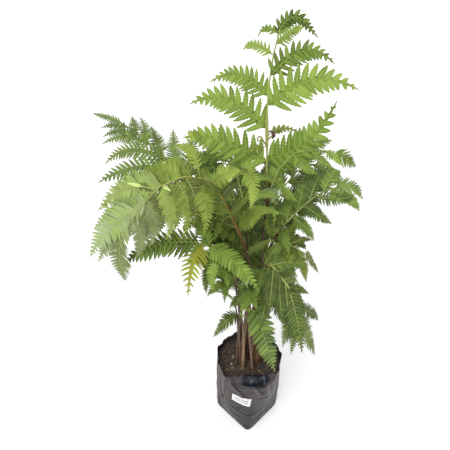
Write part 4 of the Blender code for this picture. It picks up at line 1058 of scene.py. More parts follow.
frondLooks = {
    "01": {"shade": 0.51, "gold": 0.35, "brownStart": 0.8, "brownTo": 0.1, "pairs": 12, "spread": 1.25,
           "wing": 1.3, "thick": ((267, 112), (266, 150), 0.9),
           "pinnaLooks": {0: {"tipYellow": 0.8, "shade": 0.62}, 1: {"shade": 0.62}}},
    "02": {"shade": 0.32, "dull": 0.64, "vary": 0.7, "facing": 1.2, "slender": 0.85},
    "03": {"shade": 0.44, "bloom": 0.78, "paintedSheenFrom": 0.73, "hangingPaintedSheen": 0.55, "gold": 1.0,
           "brownTo": 0.58, "bare": 2.2, "clearTo": 0.70, "rise": 0.006, "between": 1, "baseWidth": 0.45,
           "slim": (1.2, 0.45), "vary": 1.6, "spread": 1.12, "facing": 1.6, "yellowing": 0.10,
           "underPaintedShade": 0.30, "endLook": {"bloom": 0.28, "shade": 0.33},
           "thick": ((214, 189), (252, 262), 0.75),
           "pinnaLooks": {6: {"ribGold": 1.0, "ribBrown": 0.35},
                          7: {"ribGold": 1.0, "ribBrown": 0.35, "shade": 0.65}}},
    "04": {"shade": 0.22, "gold": 0.3, "pairs": 16,
           "pinnaLooks": {0: {"yellowing": 0.55, "shade": 0.60, "pairs": 10, "spread": 1.45, "slender": 0.62,
                              "ribGold": 0.8}}},
    "05": {"shade": 0.48, "slim": (0.8, 0.5), "facing": 0.9},
    "06": {"shade": 0.34, "dull": 0.30, "slim": (0.7, 0.4), "facing": 0.9,
           "extra": ((-1, (272, 243), (268, 226), (262, 208)), (-1, (276, 236), (274, 218), (276, 200)),
                     (1, (275, 240), (283, 238), (290, 244)), (-1, (284, 226), (282, 212), (286, 198)))},
    "07": {"shade": 0.16, "yellowing": 0.12},
    "08": {"shade": 0.05, "dull": 0.12, "between": 1},
    "09": {"shade": 0.10, "dull": 0.30, "spread": 0.95, "pairs": 14, "wing": 2.0, "slender": 1.1},
    # the end blade of frond 10 is painted bright: painted light where it is lit
    "10": {"shade": 0.50, "spread": 0.9,
           "endLook": {"shade": 1.0, "vary": 0.2, "ribGold": 0.4, "pale": 0.12}},
    "11": {"shade": 0.30, "between": 1},
    "12": {"shade": 0.14, "dull": 0.45, "between": 1,
           "extra": ((-1, (267, 252), (257, 240), (246, 232)), (-1, (269, 240), (258, 224), (250, 206)),
                     (-1, (272, 224), (264, 204), (262, 184)), (-1, (276, 206), (268, 188), (266, 168)),
                     (-1, (274, 212), (262, 190), (254, 166)), (1, (269, 240), (281, 236), (294, 240)),
                     (1, (272, 222), (284, 218), (298, 222)), (-1, (282, 190), (276, 176), (276, 160)))},
    "13": {"shade": 0.34, "spread": 1.1},
    "14": {"shade": 0.18},
    "15": {"shade": 0.12, "dull": 0.35, "between": 1,
           "extra": ((1, (253, 240), (242, 226), (232, 208)), (-1, (254, 236), (264, 222), (274, 206)),
                     (1, (254, 226), (240, 206), (230, 186)), (-1, (255, 206), (266, 190), (272, 172)),
                     (1, (256, 200), (244, 184), (232, 172)), (1, (258, 182), (253, 172), (251, 160)),
                     (-1, (258, 182), (263, 173), (267, 161)))},
    "16": {"shade": 0.08, "dull": 0.12},
    "17": {"shade": 0.52},
    "18": {"shade": 0.10, "between": 1,
           "extra": ((-1, (238, 254), (222, 252), (206, 262)), (1, (226, 222), (228, 202), (226, 180)),
                     (1, (236, 244), (240, 224), (240, 204)))},
    "19": {"shade": 0.08, "between": 1,
           "extra": ((-1, (246, 252), (258, 262), (268, 280)), (-1, (247, 258), (258, 254), (272, 256)),
                     (1, (247, 256), (256, 242), (268, 232)))},
}


# young and stray leaves that stand out from the rest

# on = frond and place on its stalk; path = places across and down, and how far toward the viewer
sprigs = (
    {"on": ("14", (239, 305)), "path": ((243, 302, 0.014), (249, 302, 0.024)),
     "half": 0.011, "look": "lime"},
    {"on": ("14", (240, 311)), "path": ((245, 308, 0.022), (251, 312, 0.034), (250, 319, 0.036)),
     "half": 0.010, "look": "lime"},
    {"on": ("14", (240, 318)), "path": ((243, 314, 0.016), (247, 318, 0.024)),
     "half": 0.009, "look": "lime"},
    {"on": ("08", (264, 265)), "path": ((268, 270, 0.012), (274, 279, 0.020), (281, 293, 0.022)),
     "half": 0.015, "look": "pale"},
    {"on": ("01", (266, 206)), "path": ((270, 209, 0.055), (275, 213, 0.080), (273, 228, 0.085)),
     "half": 0.013, "look": "bright"},
    {"on": ("01", (266, 188)), "path": ((269, 190, 0.040), (273, 196, 0.060), (277, 206, 0.065)),
     "half": 0.021, "look": "blueGreen"},
    {"on": ("01", (266, 204)), "path": ((260, 204, 0.050), (250, 210, 0.070)),
     "half": 0.019, "look": "dark"},
    {"on": ("10", (240, 172)), "path": ((247, 172, 0.020), (252, 180, 0.040), (254, 190, 0.055),
                                        (250, 209, 0.060)),
     "half": 0.016, "look": "limeFeather"},
    {"on": ("01", (267, 137)), "path": ((271, 133, 0.0), (279, 129, 0.0), (291, 129, 0.0), (300, 134, 0.0)),
     "half": 0.010, "look": "young"},
    {"on": ("01", (266, 146)), "path": ((258, 148, 0.004), (251, 149, 0.006), (247, 156, 0.006)),
     "half": 0.010, "look": "young"},
)
# single broad leaflets: on, tip across, down and toward the viewer, half width, look
broadLeaves = (
    {"on": ("09", (254, 311)), "tip": (254, 325, 0.010), "half": 0.0062, "look": "pale"},
    {"on": ("16", (261, 284)), "tip": (264, 303, 0.016), "half": 0.0120, "look": "lime"},
    {"on": ("03", (158, 187)), "tip": (127, 183, -0.004), "half": 0.0046, "look": "paleLime", "from": 0.48},
    {"on": ("03", (164, 184)), "tip": (171, 191, 0.010), "half": 0.0030, "look": "paleLime"},
)
# the dark shrivelled leaf by the curled one
shrivelled = {"on": ("01", (267, 134)), "path": ((267, 134), (270, 131), (273, 132), (274, 136), (272, 139)),
              "radii": (0.0012, 0.0016, 0.0042, 0.0036, 0.0008), "sides": 7}
strayLooks = {
    "limeFeather": {"shade": 1.00, "pairs": 16, "vary": 0.3, "ribGold": 0.5, "yellowing": 0.06,
                    "slender": 0.8},
    "lime": {"shade": 0.85, "pairs": 6, "vary": 0.3, "ribGold": 0.6},
    "pale": {"shade": 0.60, "dull": 0.70, "bloom": 0.45, "pairs": 11, "vary": 0.3},
    "bright": {"shade": 1.00, "pairs": 8, "vary": 0.2, "yellowing": 0.10},
    "blueGreen": {"shade": 0.40, "dull": 1.00, "bloom": 0.35, "pairs": 6, "vary": 0.3},
    "dark": {"shade": 0.16, "pairs": 8, "vary": 0.2},
    "young": {"shade": 0.30, "yellowing": 0.15, "pairs": 7, "vary": 0.3, "ribBrown": 0.3},
    "paleLime": {"shade": 1.00, "pale": 0.9, "vary": 0.0},
}


def footOn(name, place):
    frond = readFrond(name)
    share = shareAt(frond["points"], place, frondShape["neckStart"])
    return onRachis(frond, share) if share > frond["neck"] else at(frond["points"], share)


def buildStrays(forms, leafLook, ribLook, stipeLook):
    leaves, ribs = Gather(*leafKeys), Gather("gold", "brown")
    for i, sprig in enumerate(sprigs):
        foot = footOn(*sprig["on"])
        points, length = evenPath([foot] + [spot(x, y, foot[1] - toward) for x, y, toward in sprig["path"]])
        halfway = points[frondShape["steps"] // 2]
        feather(leaves, ribs, forms, lambda v: at(points, v), unit(view["eye"] - halfway + up * 0.3), length,
                sprig["half"], 0.22, {**plainLook, **strayLooks[sprig["look"]]}, f"sprig{i}")
    form = forms["large"]
    x, y, z = form["x"], form["y"], form["z"]
    for leaf in broadLeaves:
        foot = footOn(*leaf["on"])
        tip = spot(*leaf["tip"][:2], foot[1] - leaf["tip"][2])
        look = {**plainLook, **strayLooks[leaf["look"]]}
        along = unit(tip - foot)
        face = unit(view["eye"] - foot)
        face = unit(face - along * np.dot(face, along))
        reach = np.linalg.norm(tip - foot)
        # narrow up to its start, like a stalk
        start = leaf.get("from", 0.0)
        bulge = np.interp(x, (0, start, start + 0.2, 1), (0.12, 0.14, 1.0, 1.0))
        verts = (foot + np.outer(x * reach, along) + np.outer(y * bulge * leaf["half"], np.cross(face, along))
                 + np.outer(z * 0.0003 - y * y * leaf["half"] * 0.25 - (2 * x - 1) ** 2 * reach * 0.05, face))
        leaves.add(verts, form["faces"], tone=0.5, spine=form["spine"], alongLeaf=x, acrossLeaf=np.abs(y),
                   upper=z, **{key: look[key] for key in ("shade", "dull", "bloom", "yellowing", "pale")})
    foot = footOn(*shrivelled["on"])
    knot = [foot + (spot(*place, foot[1]) - foot) for place in shrivelled["path"]]
    verts, faces = tube(knot, shrivelled["radii"], shrivelled["sides"])
    zero = np.zeros(len(verts))
    finishPiece(pieceFrom("shrivelledLeaf", verts, faces, {"young": zero, "light": zero}), stipeLook,
                "stalk_brown")
    finishPiece(leaves.piece("strayLeaves"), leafLook, "leaf_green")
    finishPiece(ribs.piece("strayRibs"), ribLook, "leaf_green")


# stalks

stipe = {
    "sides": 10, "step": 0.010, "leastRings": 8, "ridge": 0.07, "furrow": 0.10, "knots": 0.05, "swell": 0.45,
    "thick": {"14": 1.3, "03": 1.1, "02": 0.9, "13": 0.7},
    # lighter stalks, most so low down: height where it fades, and over what length
    "light": {"14": 1.0, "03": 0.75, "09": 0.55, "16": 0.4}, "otherLight": 0.15, "fade": (0.50, 0.15),
    "paint": {"old": (0.370, 0.235, 0.140), "young": (0.150, 0.066, 0.024), "crack": (0.045, 0.022, 0.012),
              "scale": (0.700, 0.540, 0.370), "blotch": (0.060, 0.032, 0.018), "dark": (0.075, 0.036, 0.018)},
}


def stipeMaterial():
    made, n = newMaterial("stipeBark")
    paint = stipe["paint"]
    spots = n.group(mottle, Size=55.0, Stretch=0.25)
    color = n.mix(n.band(n.value("young"), 0.55, 1.0), paint["old"], paint["young"])
    grain = n.noise(n.place((1, 1, 0.10)), 760.0, 4, 0.7)
    color = n.layer(color, n.band(grain, 0.60, 0.42), 0.75, paint["crack"])
    color = n.layer(color, n.band(grain, 0.55, 0.70), 0.70, paint["scale"])
    color = n.layer(color, spots["Blotch"], 0.40, paint["blotch"])
    color = n.mix(n.band(n.value("light"), 0.0, 1.0, 0.75, 0.0), color, paint["dark"])
    n.surface(color, 0.62, n.bump(grain, 0.7, 0.0012))
    return made


def buildStipe(name, look):
    frond = readFrond(name)
    count = max(stipe["leastRings"], round(frond["length"] * frond["neck"] / stipe["step"]))
    sides, shares = stipe["sides"], np.linspace(0, frond["neck"], count)
    points = np.array([at(frond["points"], s) for s in shares])
    tangents = np.array([at(frond["tangents"], s) for s in shares])
    rng = random.Random("stipe" + name)
    swell = stipe["thick"].get(name, stipe["swell"])
    radii = [stemRadius(frond, s) * (1 + rng.uniform(-stipe["knots"], stipe["knots"]) * 0.6)
             * (1 + swell * (1 - s / frond["neck"]) ** 1.3) for s in shares]
    verts, faces = tube(points, radii, sides, tangents)
    centres = np.repeat(points, sides, 0)
    ring = np.tile(np.arange(sides), count)
    groove = 1 + stipe["ridge"] * np.cos(ring * math.pi) - stipe["furrow"] * (ring == 0)
    verts = centres + (verts - centres) * groove[:, None]
    young = np.repeat(shares / frond["neck"], sides)
    top, over = stipe["fade"]
    light = stipe["light"].get(name, stipe["otherLight"]) * np.clip((top - verts[:, 2]) / over, 0.15, 1)
    piece = pieceFrom("stipe" + name, verts, faces, {"young": young, "light": light})
    finishPiece(piece, look, "stalk_brown", "stalk_" + name)


# bag

film = {
    "height": 0.220, "wall": 0.0009,
    "footHalfSide": 0.0667, "footPower": 6.0, "mouthRadius": 0.0820,
    "lipFlare": 0.0080, "lipSag": 0.0070,
    "segments": 150, "levels": 62,
    # corners folded sharper near the floor than the solid's
    "cornerPower": 9.0, "cornerHalfSide": 0.0648, "cornerHeight": 0.075,
    # the front lip has sunk inward over the soil
    "fold": {"bearing": -86, "half": 48, "from": 0.2015, "reach": 0.036, "top": 0.2165, "dish": 0.0035,
             "shineTurn": 8, "shineHalf": 36, "shineOver": 0.006},
    "drainRadius": 0.0038, "drainSides": 18, "drainDepth": 0.02,
    "drainHoles": ((-152, 0.091), (-110, 0.098), (-48, 0.081), (62, 0.090), (130, 0.085)),
    # creases pressed in the film: bearing and height of both ends, depth, half width
    "creases": (
        (-122, 0.206, -104, 0.176, 0.0040, 0.0040), (-104, 0.176, -96, 0.150, 0.0022, 0.0036),
        (-134, 0.196, -140, 0.120, 0.0022, 0.0050), (-78, 0.205, -66, 0.168, 0.0028, 0.0042),
        (-52, 0.210, -46, 0.140, 0.0024, 0.0046), (-70, 0.150, -40, 0.128, 0.0016, 0.0036),
        (-132, 0.092, -96, 0.078, 0.0018, 0.0032), (-96, 0.078, -58, 0.090, 0.0015, 0.0032),
        (-126, 0.056, -100, 0.047, 0.0016, 0.0028), (-84, 0.044, -50, 0.056, 0.0016, 0.0028),
        (-118, 0.030, -94, 0.024, 0.0013, 0.0024), (-86, 0.022, -60, 0.031, 0.0013, 0.0024),
        (-158, 0.180, -150, 0.090, 0.0020, 0.0048), (-30, 0.190, -22, 0.100, 0.0020, 0.0046),
        (150, 0.170, 130, 0.080, 0.0022, 0.0050), (100, 0.200, 92, 0.130, 0.0024, 0.0046),
        (60, 0.190, 74, 0.100, 0.0020, 0.0044), (20, 0.200, 12, 0.120, 0.0020, 0.0044),
        (170, 0.060, 140, 0.050, 0.0015, 0.0030), (30, 0.055, 66, 0.062, 0.0015, 0.0030),
    ),
    "smallCreases": 70,
    # waves around the rim: size, count, phase; up and down, then in and out
    "rimWaves": ((0.0020, 7, 1.0), (0.0014, 16, 0.0), (0.0009, 31, 0.0)),
    "lipWaves": ((0.0016, 13, 2.0), (0.0010, 23, 0.0)),
    # paint: film, wear that also gives the painted ridge highlight, painted shade at the foot and in crease
    # valleys, stain with painted reflection, painted shade and highlight on the sunk lip
    "paint": {"film": (0.012, 0.012, 0.015), "wearAndPaintedRidgeLight": (0.125, 0.113, 0.118), "low": (0.004, 0.004, 0.006),
              "stainAndPaintedReflection": (0.135, 0.086, 0.072), "paintedCreaseShade": (0.006, 0.006, 0.008),
              "paintedLipShade": (0.006, 0.008, 0.013), "shine": (0.090, 0.105, 0.140)},
}


def ripple(angle, waves):
    return sum(size * np.sin(count * angle + phase) for size, count, phase in waves)


def roundNoise(angle, z, around, along):
    return np.array([noise.noise(Vector((math.cos(a) * around, math.sin(a) * around, h * along)))
                     for a, h in zip(angle, z)])


def roundedSquare(angle, half, power):
    a = angle - math.pi / 4
    return half / (np.abs(np.cos(a)) ** power + np.abs(np.sin(a)) ** power) ** (1 / power)


def frontShare(angle):
    return np.maximum(0, -np.sin(angle - 0.12)) ** 3


def filmRadius(angle, z):
    # the solid's wall, with its corners folded sharper
    k = np.minimum(z / film["height"], 1)
    foot = roundedSquare(angle, film["footHalfSide"], film["footPower"])
    sharp = roundedSquare(angle, film["cornerHalfSide"], film["cornerPower"])
    foot = foot + (sharp - foot) * np.clip(1 - z / film["cornerHeight"], 0, 1) ** 1.3
    folds = ripple(angle, ((0.0011, 5, 0.6), (0.0008, 9, 7 * k)))
    flare = film["lipFlare"] * frontShare(angle) * np.maximum(0, (k - 0.82) / 0.18) ** 2
    blend = np.minimum(1, k / 0.85)
    return (foot * (1 - blend) + film["mouthRadius"] * blend + folds * k + flare
            + 0.0020 * np.sin(math.pi * k) - 0.0012 * (1 - k) ** 8)


def creasePlan():
    rng = random.Random("film creases")
    rows = [(math.radians(a), low, math.radians(b), high, depth, half)
            for a, low, b, high, depth, half in film["creases"]]
    for _ in range(film["smallCreases"]):
        a, z = rng.uniform(-math.pi, math.pi), rng.uniform(0.012, 0.212)
        tilt, reach = rng.choice((0, 0, math.pi / 2)) + rng.gauss(0, 0.45), rng.uniform(0.010, 0.034)
        rows.append((a, z, a + reach * math.cos(tilt) / film["mouthRadius"], z + reach * math.sin(tilt),
                     rng.uniform(0.0004, 0.0011), rng.uniform(0.0012, 0.0024)))
    return rows


def filmRelief(angle, z):
    # a sharp valley along each crease with a soft ridge beside it
    around = film["mouthRadius"]
    relief = np.zeros_like(angle)
    for a, low, b, high, depth, half in creasePlan():
        turn = (angle - a + math.pi) % (2 * math.pi) - math.pi
        px, pz = turn * around, z - low
        dx, dz = (b - a) * around, high - low
        long = dx * dx + dz * dz
        t = np.clip((px * dx + pz * dz) / long, 0, 1)
        off = np.hypot(px - t * dx, pz - t * dz)
        aside = (px * dz - pz * dx) / math.sqrt(long)
        fade = np.sin(math.pi * np.clip(t, 0.08, 0.92)) ** 0.5
        relief += -depth * fade * np.exp(-(off / half) ** 2)
        relief += 0.55 * depth * fade * np.exp(-((aside - 1.7 * half) / half) ** 2) * (off < 5 * half)
    return relief


def filmPoint(angle, z):
    # outside of the crumpled film at a bearing and a height
    r = filmRadius(angle, z)
    # creases fade at the foot and toward the rim
    keep = np.clip(z / 0.010, 0, 1) * np.clip((film["height"] - z) / 0.006, 0.25, 1)
    slow, fine = roundNoise(angle, z, 2.2, 26), roundNoise(angle, z, 8.5, 95)
    r = r + (filmRelief(angle, z) + 0.0011 * slow + 0.00035 * fine) * keep
    k = z / film["height"]
    lip = np.maximum(0, (k - 0.93) / 0.07)
    sag = film["lipSag"] * frontShare(angle) * lip
    wave = ripple(angle, film["rimWaves"]) * lip
    fold = film["fold"]
    aside = (np.degrees(angle) - fold["bearing"] + 180) % 360 - 180
    inside = np.clip(1 - (aside / fold["half"]) ** 2, 0, 1) ** 0.75
    over = np.clip((z - fold["from"]) / (film["height"] - fold["from"]), 0, 1)
    folded = z + (fold["top"] - film["height"]) * over - fold["dish"] * np.sin(math.pi * over)
    height = (z - sag + wave) * (1 - inside) + inside * folded
    r = r - fold["reach"] * inside * over ** 0.9
    r = r + ripple(angle, film["lipWaves"]) * lip * (1 - inside)
    return np.stack([r * np.cos(angle), r * np.sin(angle), height], -1)


def ringStack(name, segments, levels):
    # open tube of stacked rings, one unit apart
    clearSelection()
    bpy.ops.mesh.primitive_circle_add(vertices=segments, radius=1, fill_type="NOTHING")
    piece = bpy.context.object
    piece.name = name
    with editing():
        for _ in range(levels):
            bpy.ops.mesh.extrude_region_move(TRANSFORM_OT_translate={"value": (0, 0, 1)})
    co = vertsOf(piece)
    return piece, np.arctan2(co[:, 1], co[:, 0]).astype(float), np.round(co[:, 2]).astype(int)


def closeRing(piece, level, levelOf):
    chosen = levelOf == level
    mesh = piece.data
    mesh.vertices.foreach_set("select", chosen)
    mesh.edges.foreach_set("select", chosen[edgeEnds(mesh)].all(1))
    mesh.polygons.foreach_set("select", np.zeros(len(mesh.polygons), bool))
    bpy.ops.object.mode_set(mode="EDIT")
    bpy.ops.mesh.select_mode(type="VERT")
    bpy.ops.mesh.edge_face_add()
    bpy.ops.object.mode_set(mode="OBJECT")


def outward(piece):
    activate(piece)
    with editing():
        bpy.ops.mesh.normals_make_consistent(inside=False)
    bpy.ops.object.shade_smooth()


def placeVerts(piece, co):
    piece.data.vertices.foreach_set("co", np.asarray(co, np.float32).ravel())
    piece.data.update()


def filmMaterial():
    made, n = newMaterial("bagFilm")
    paint = film["paint"]
    relief, sunk = n.value("relief"), n.value("sunk")
    spots = n.group(mottle, Size=20.0, Stretch=0.5)
    color = n.layer(paint["film"], spots["Blotch"], 0.42, paint["wearAndPaintedRidgeLight"])
    # crease ridges painted lighter and valleys painted darker: painted highlight and painted shade
    color = n.mix(n.band(relief, 0.0, 0.0009, 0.0, 0.55), color, paint["wearAndPaintedRidgeLight"])
    color = n.mix(n.band(relief, 0.0, -0.0014, 0.0, 0.85), color, paint["paintedCreaseShade"])
    # brown in upright streaks, partly soil stain and partly painted reflection, strongest near both side
    # edges
    streaks = n.noise(n.place((1, 1, 0.22)), 60.0, 4, 0.65)
    edges = n.band(n.value("sideways"), 0.35, 0.95, 0.30, 1.0)
    where = n.math("MULTIPLY", n.band(streaks, 0.42, 0.62), edges)
    color = n.layer(color, where, 0.50, paint["stainAndPaintedReflection"])
    scuff = n.band(n.noise(n.place((1, 1, 0.25), (0, 28, 0)), 210.0, 4, 0.75), 0.58, 0.78)
    color = n.layer(color, scuff, 0.28, paint["wearAndPaintedRidgeLight"])
    # painted shade, darker toward the foot
    color = n.mix(n.band(n.value("low"), 0.30, 1.0, 0.0, 0.75), color, paint["low"])
    # the sunk lip in painted blue black shade with painted bluish highlights
    shine = n.band(n.noise(n.place((1, 0.4, 1)), 70.0, 3, 0.6), 0.56, 0.66)
    color = n.mix(n.band(sunk, 0.15, 0.5), color, n.layer(paint["paintedLipShade"], shine, 0.7, paint["shine"]))
    rough = n.math("ADD", n.math("MULTIPLY", spots["Blotch"], 0.14), n.band(sunk, 0.15, 0.5, 0.30, 0.14))
    rough = n.math("ADD", rough, n.math("MULTIPLY", where, 0.2))
    stretch = n.noise(n.place((1, 1, 0.35)), 130.0, 3, 0.6)
    n.surface(color, rough, n.bump(stretch, 0.35, 0.0014), 0.20)
    return made


def buildBag():
    piece, angle, level = ringStack("bagFilm", film["segments"], film["levels"])
    height = film["height"] * (level / film["levels"])
    placeVerts(piece, filmPoint(angle, height))
    fold = film["fold"]
    aside = (np.degrees(angle) - fold["bearing"] - fold["shineTurn"] + 180) % 360 - 180
    sunk = np.clip(1 - (aside / fold["shineHalf"]) ** 2, 0, 1)
    sunk = sunk * np.clip((height - fold["from"]) / fold["shineOver"], 0, 1)
    giveValues(piece.data, {"relief": filmRelief(angle, height), "sunk": sunk,
                            "sideways": np.abs(np.cos(angle)), "low": 1 - height / film["height"]})
    closeRing(piece, 0, level)
    outward(piece)
    wall = piece.modifiers.new("wall", "SOLIDIFY")
    wall.thickness = film["wall"]
    wall.offset = -1
    wall.use_even_offset = True
    applyAll(piece)
    for bearing, height in film["drainHoles"]:
        a = math.radians(bearing)
        r = float(filmRadius(np.array([a]), np.array([height]))[0])
        clearSelection()
        bpy.ops.mesh.primitive_cylinder_add(vertices=film["drainSides"], radius=film["drainRadius"],
                                            depth=film["drainDepth"],
                                            location=(r * math.cos(a), r * math.sin(a), height),
                                            rotation=(0, math.pi / 2, a))
        punch = bpy.context.object
        cut = piece.modifiers.new("drain", "BOOLEAN")
        cut.operation = "DIFFERENCE"
        cut.solver = "EXACT"
        cut.object = punch
        applyAll(piece)
        bpy.data.objects.remove(punch)
    activate(piece)
    bpy.ops.object.shade_smooth()
    finishPiece(piece, filmMaterial(), "bag_film", "bag")


# sticker

sticker = {"width": 0.050, "height": 0.033, "thick": 0.0003, "bearing": -105, "middle": 0.142, "tilt": -6,
           "lift": 0.0007, "leastLift": 0.0004, "bridge": 0.0010, "wall": 0.0815, "columns": 40, "rows": 26,
           "paper": (0.80, 0.80, 0.78), "smudge": (0.62, 0.60, 0.56), "ink": (0.12, 0.12, 0.13)}


def stickerMaterial():
    made, n = newMaterial("stickerPaper")
    # plain dashes in three rows, standing for print
    row, along = n.value("up"), n.value("across")
    lines = n.band(n.math("SINE", n.math("MULTIPLY", row, 22.0)), 0.10, 0.50)
    dashes = n.band(n.noise(n.place(), 420.0, 1), 0.36, 0.44)
    inRow = n.math("MULTIPLY", n.band(row, 0.16, 0.22), n.band(row, 0.86, 0.80))
    inLine = n.math("MULTIPLY", n.band(along, 0.10, 0.14), n.band(along, 0.90, 0.86))
    inside = n.math("MULTIPLY", inRow, inLine)
    inked = n.math("MULTIPLY", n.math("MULTIPLY", lines, dashes), n.math("MULTIPLY", inside, 0.95))
    spots = n.group(mottle, Size=60.0, Stretch=1.0)
    color = n.layer(sticker["paper"], spots["Blotch"], 0.10, sticker["smudge"])
    n.surface(n.mix(inked, color, sticker["ink"]), 0.42, n.bump(spots["Speck"], 0.2, 0.0003))
    return made


def buildSticker():
    clearSelection()
    bpy.ops.mesh.primitive_grid_add(x_subdivisions=sticker["columns"], y_subdivisions=sticker["rows"],
                                    size=1)
    piece = bpy.context.object
    piece.name = "sticker"
    flat = vertsOf(piece).astype(float)
    tilt = math.radians(sticker["tilt"])
    u, v = flat[:, 0] * sticker["width"], flat[:, 1] * sticker["height"]
    u, v = u * math.cos(tilt) - v * math.sin(tilt), u * math.sin(tilt) + v * math.cos(tilt)
    angle = math.radians(sticker["bearing"]) + u / sticker["wall"]
    z = sticker["middle"] + v
    wall = filmPoint(angle, z)
    out = np.stack([np.cos(angle), np.sin(angle), np.zeros_like(angle)], -1)
    reach = np.sum(wall * out, 1)
    # paper bridges the fine creases under it
    smooth = filmRadius(angle, z)
    radius = np.maximum(reach, smooth - sticker["bridge"]) * 0.75 + smooth * 0.25 + sticker["lift"]
    radius = np.maximum(radius, reach + sticker["leastLift"])
    placeVerts(piece, out * radius[:, None] + np.stack([0 * z, 0 * z, z], -1))
    giveValues(piece.data, {"across": flat[:, 0] + 0.5, "up": flat[:, 1] + 0.5})
    sheet = piece.modifiers.new("sheet", "SOLIDIFY")
    sheet.thickness = sticker["thick"]
    sheet.offset = 1
    applyAll(piece)
    outward(piece)
    finishPiece(piece, stickerMaterial(), "label_paper", "label")


# soil

soil = {
    "top": 0.202, "under": 0.150, "segments": 132, "rings": 40, "edgeGap": 0.0016, "edgeLower": 0.004,
    "hill": (0.004, 0.078), "hillFoot": 0.003,  # height and radius, and how far its foot lies below the top
    "lumps": ((55, 1.7), (170, 4.1), (420, 8.3)), "lumpHeights": (0.0030, 0.0022, 0.0016),
    # loose bits: how many, how far out, how clear of the stalks and the trunk, and their sizes
    "crumbs": 900, "chips": 130, "straws": 24, "reach": 0.072, "byStalk": 0.006, "byTrunk": 0.020,
    "crumbSize": (0.0012, 0.0036), "chipLong": (0.003, 0.009), "chipWide": (0.25, 0.55),
    "chipThick": (0.0008, 0.0022), "seenChip": (0.55, 0.0020), "strawLong": (0.008, 0.018),
    "strawRadius": 0.00045, "strawLift": 0.0012,
    "paint": {"wet": (0.022, 0.016, 0.013), "dry": (0.078, 0.056, 0.043), "fleck": (0.300, 0.220, 0.150),
              "grit": (0.230, 0.175, 0.135)},
    # chips and straws that the picture shows: place x, y and their long side, bearing, colour
    "seenChips": ((0.052, 0.022, 0.011, 20, "tan"), (0.044, -0.046, 0.009, -30, "rust"),
                  (0.034, -0.040, 0.008, 40, "tan"), (-0.045, -0.012, 0.007, 60, "pale"),
                  (-0.040, 0.010, 0.006, 10, "pale")),
    "seenStraws": ((-0.034, -0.012, -0.020, -0.028), (-0.006, -0.040, -0.014, -0.046),
                   (0.020, -0.050, 0.004, -0.044)),
    "chipColors": {"tan": (0.36, 0.235, 0.135), "rust": (0.30, 0.105, 0.035), "bark": (0.100, 0.062, 0.040),
                   "pale": (0.50, 0.44, 0.35), "straw": (0.46, 0.34, 0.18), "crumb": (0.048, 0.034, 0.026)},
    "chipKinds": {"bark": 11, "tan": 2.2, "rust": 0.5, "pale": 0.6},
    "crumbShades": (0.6, 1.0, 1.6, 2.4, 4.5),
}


def soilHeight(x, y):
    height, radius = soil["hill"]
    hill = height * (1 - min(1, math.hypot(x, y) / radius) ** 4)
    rough, crumb, grit = (noise.noise(Vector((x * scale, y * scale, layer)))
                          for scale, layer in soil["lumps"])
    rough, crumb, grit = (lump * most for lump, most in zip((rough, crumb, abs(grit)), soil["lumpHeights"]))
    return soil["top"] - soil["hillFoot"] + hill + rough + crumb + grit


def soilMaterial():
    made, n = newMaterial("pottingMix")
    paint = soil["paint"]
    spots = n.group(mottle, Size=120.0, Stretch=1.0)
    fine = n.noise(n.place(), 900.0, 3, 0.7)
    color = n.mix(n.band(fine, 0.35, 0.7), paint["wet"], paint["dry"])
    color = n.layer(color, spots["Blotch"], 0.4, paint["wet"])
    color = n.layer(color, n.band(n.noise(n.place(), 620.0, 1), 0.66, 0.74), 0.7, paint["fleck"])
    color = n.layer(color, n.band(n.noise(n.place(), 330.0, 2), 0.57, 0.64), 0.85, paint["grit"])
    n.surface(color, 0.92, n.bump(fine, 0.8, 0.0012))
    return made


def soilEdge(angle, height):
    wall = filmPoint(angle, np.full_like(angle, height))
    return np.hypot(wall[:, 0], wall[:, 1]) - film["wall"] - soil["edgeGap"]


def buildSoil():
    piece, angle, level = ringStack("pottingMix", soil["segments"], soil["rings"] + 1)
    share = np.clip(1 - (level - 1) / (soil["rings"] + 0.02), 0, 1)
    reach = soilEdge(angle, soil["top"] - soil["edgeLower"])
    r = np.where(level == 0, soilEdge(angle, soil["under"]), reach * share ** 0.85)
    x, y = r * np.cos(angle), r * np.sin(angle)
    z = np.array([soilHeight(a, b) for a, b in zip(x, y)])
    placeVerts(piece, np.stack([x, y, np.where(level == 0, soil["under"], z)], -1))
    closeRing(piece, 0, level)
    closeRing(piece, soil["rings"] + 1, level)
    outward(piece)
    finishPiece(piece, soilMaterial(), "potting_soil", "soil")


def pebble(kind):
    # one coarse lump, copied and squashed many times
    clearSelection()
    if kind == "crumb":
        bpy.ops.mesh.primitive_ico_sphere_add(subdivisions=1, radius=0.5)
    else:
        bpy.ops.mesh.primitive_cube_add(size=1)
        with editing():
            bpy.ops.mesh.bevel(offset=0.16, segments=1)
    blank = bpy.context.object
    verts = vertsOf(blank).astype(float)
    faces = [tuple(f.vertices) for f in blank.data.polygons]
    bpy.data.objects.remove(blank)
    return verts, faces


def clearOfStems(x, y, stems):
    return all(math.hypot(x - a, y - b) > r for a, b, r in stems)


def litterMaterial():
    made, n = newMaterial("soilLitter")
    joined = n.add("CombineColor")
    n.fill(joined.inputs, {i: n.value(channel) for i, channel in enumerate(("red", "green", "blue"))})
    spots = n.group(mottle, Size=150.0, Stretch=1.0)
    color = n.layer(joined.outputs[0], spots["Blotch"], 0.45, soil["paint"]["wet"])
    n.surface(color, 0.85, n.bump(n.noise(n.place(), 700.0, 2), 0.6, 0.0006))
    return made


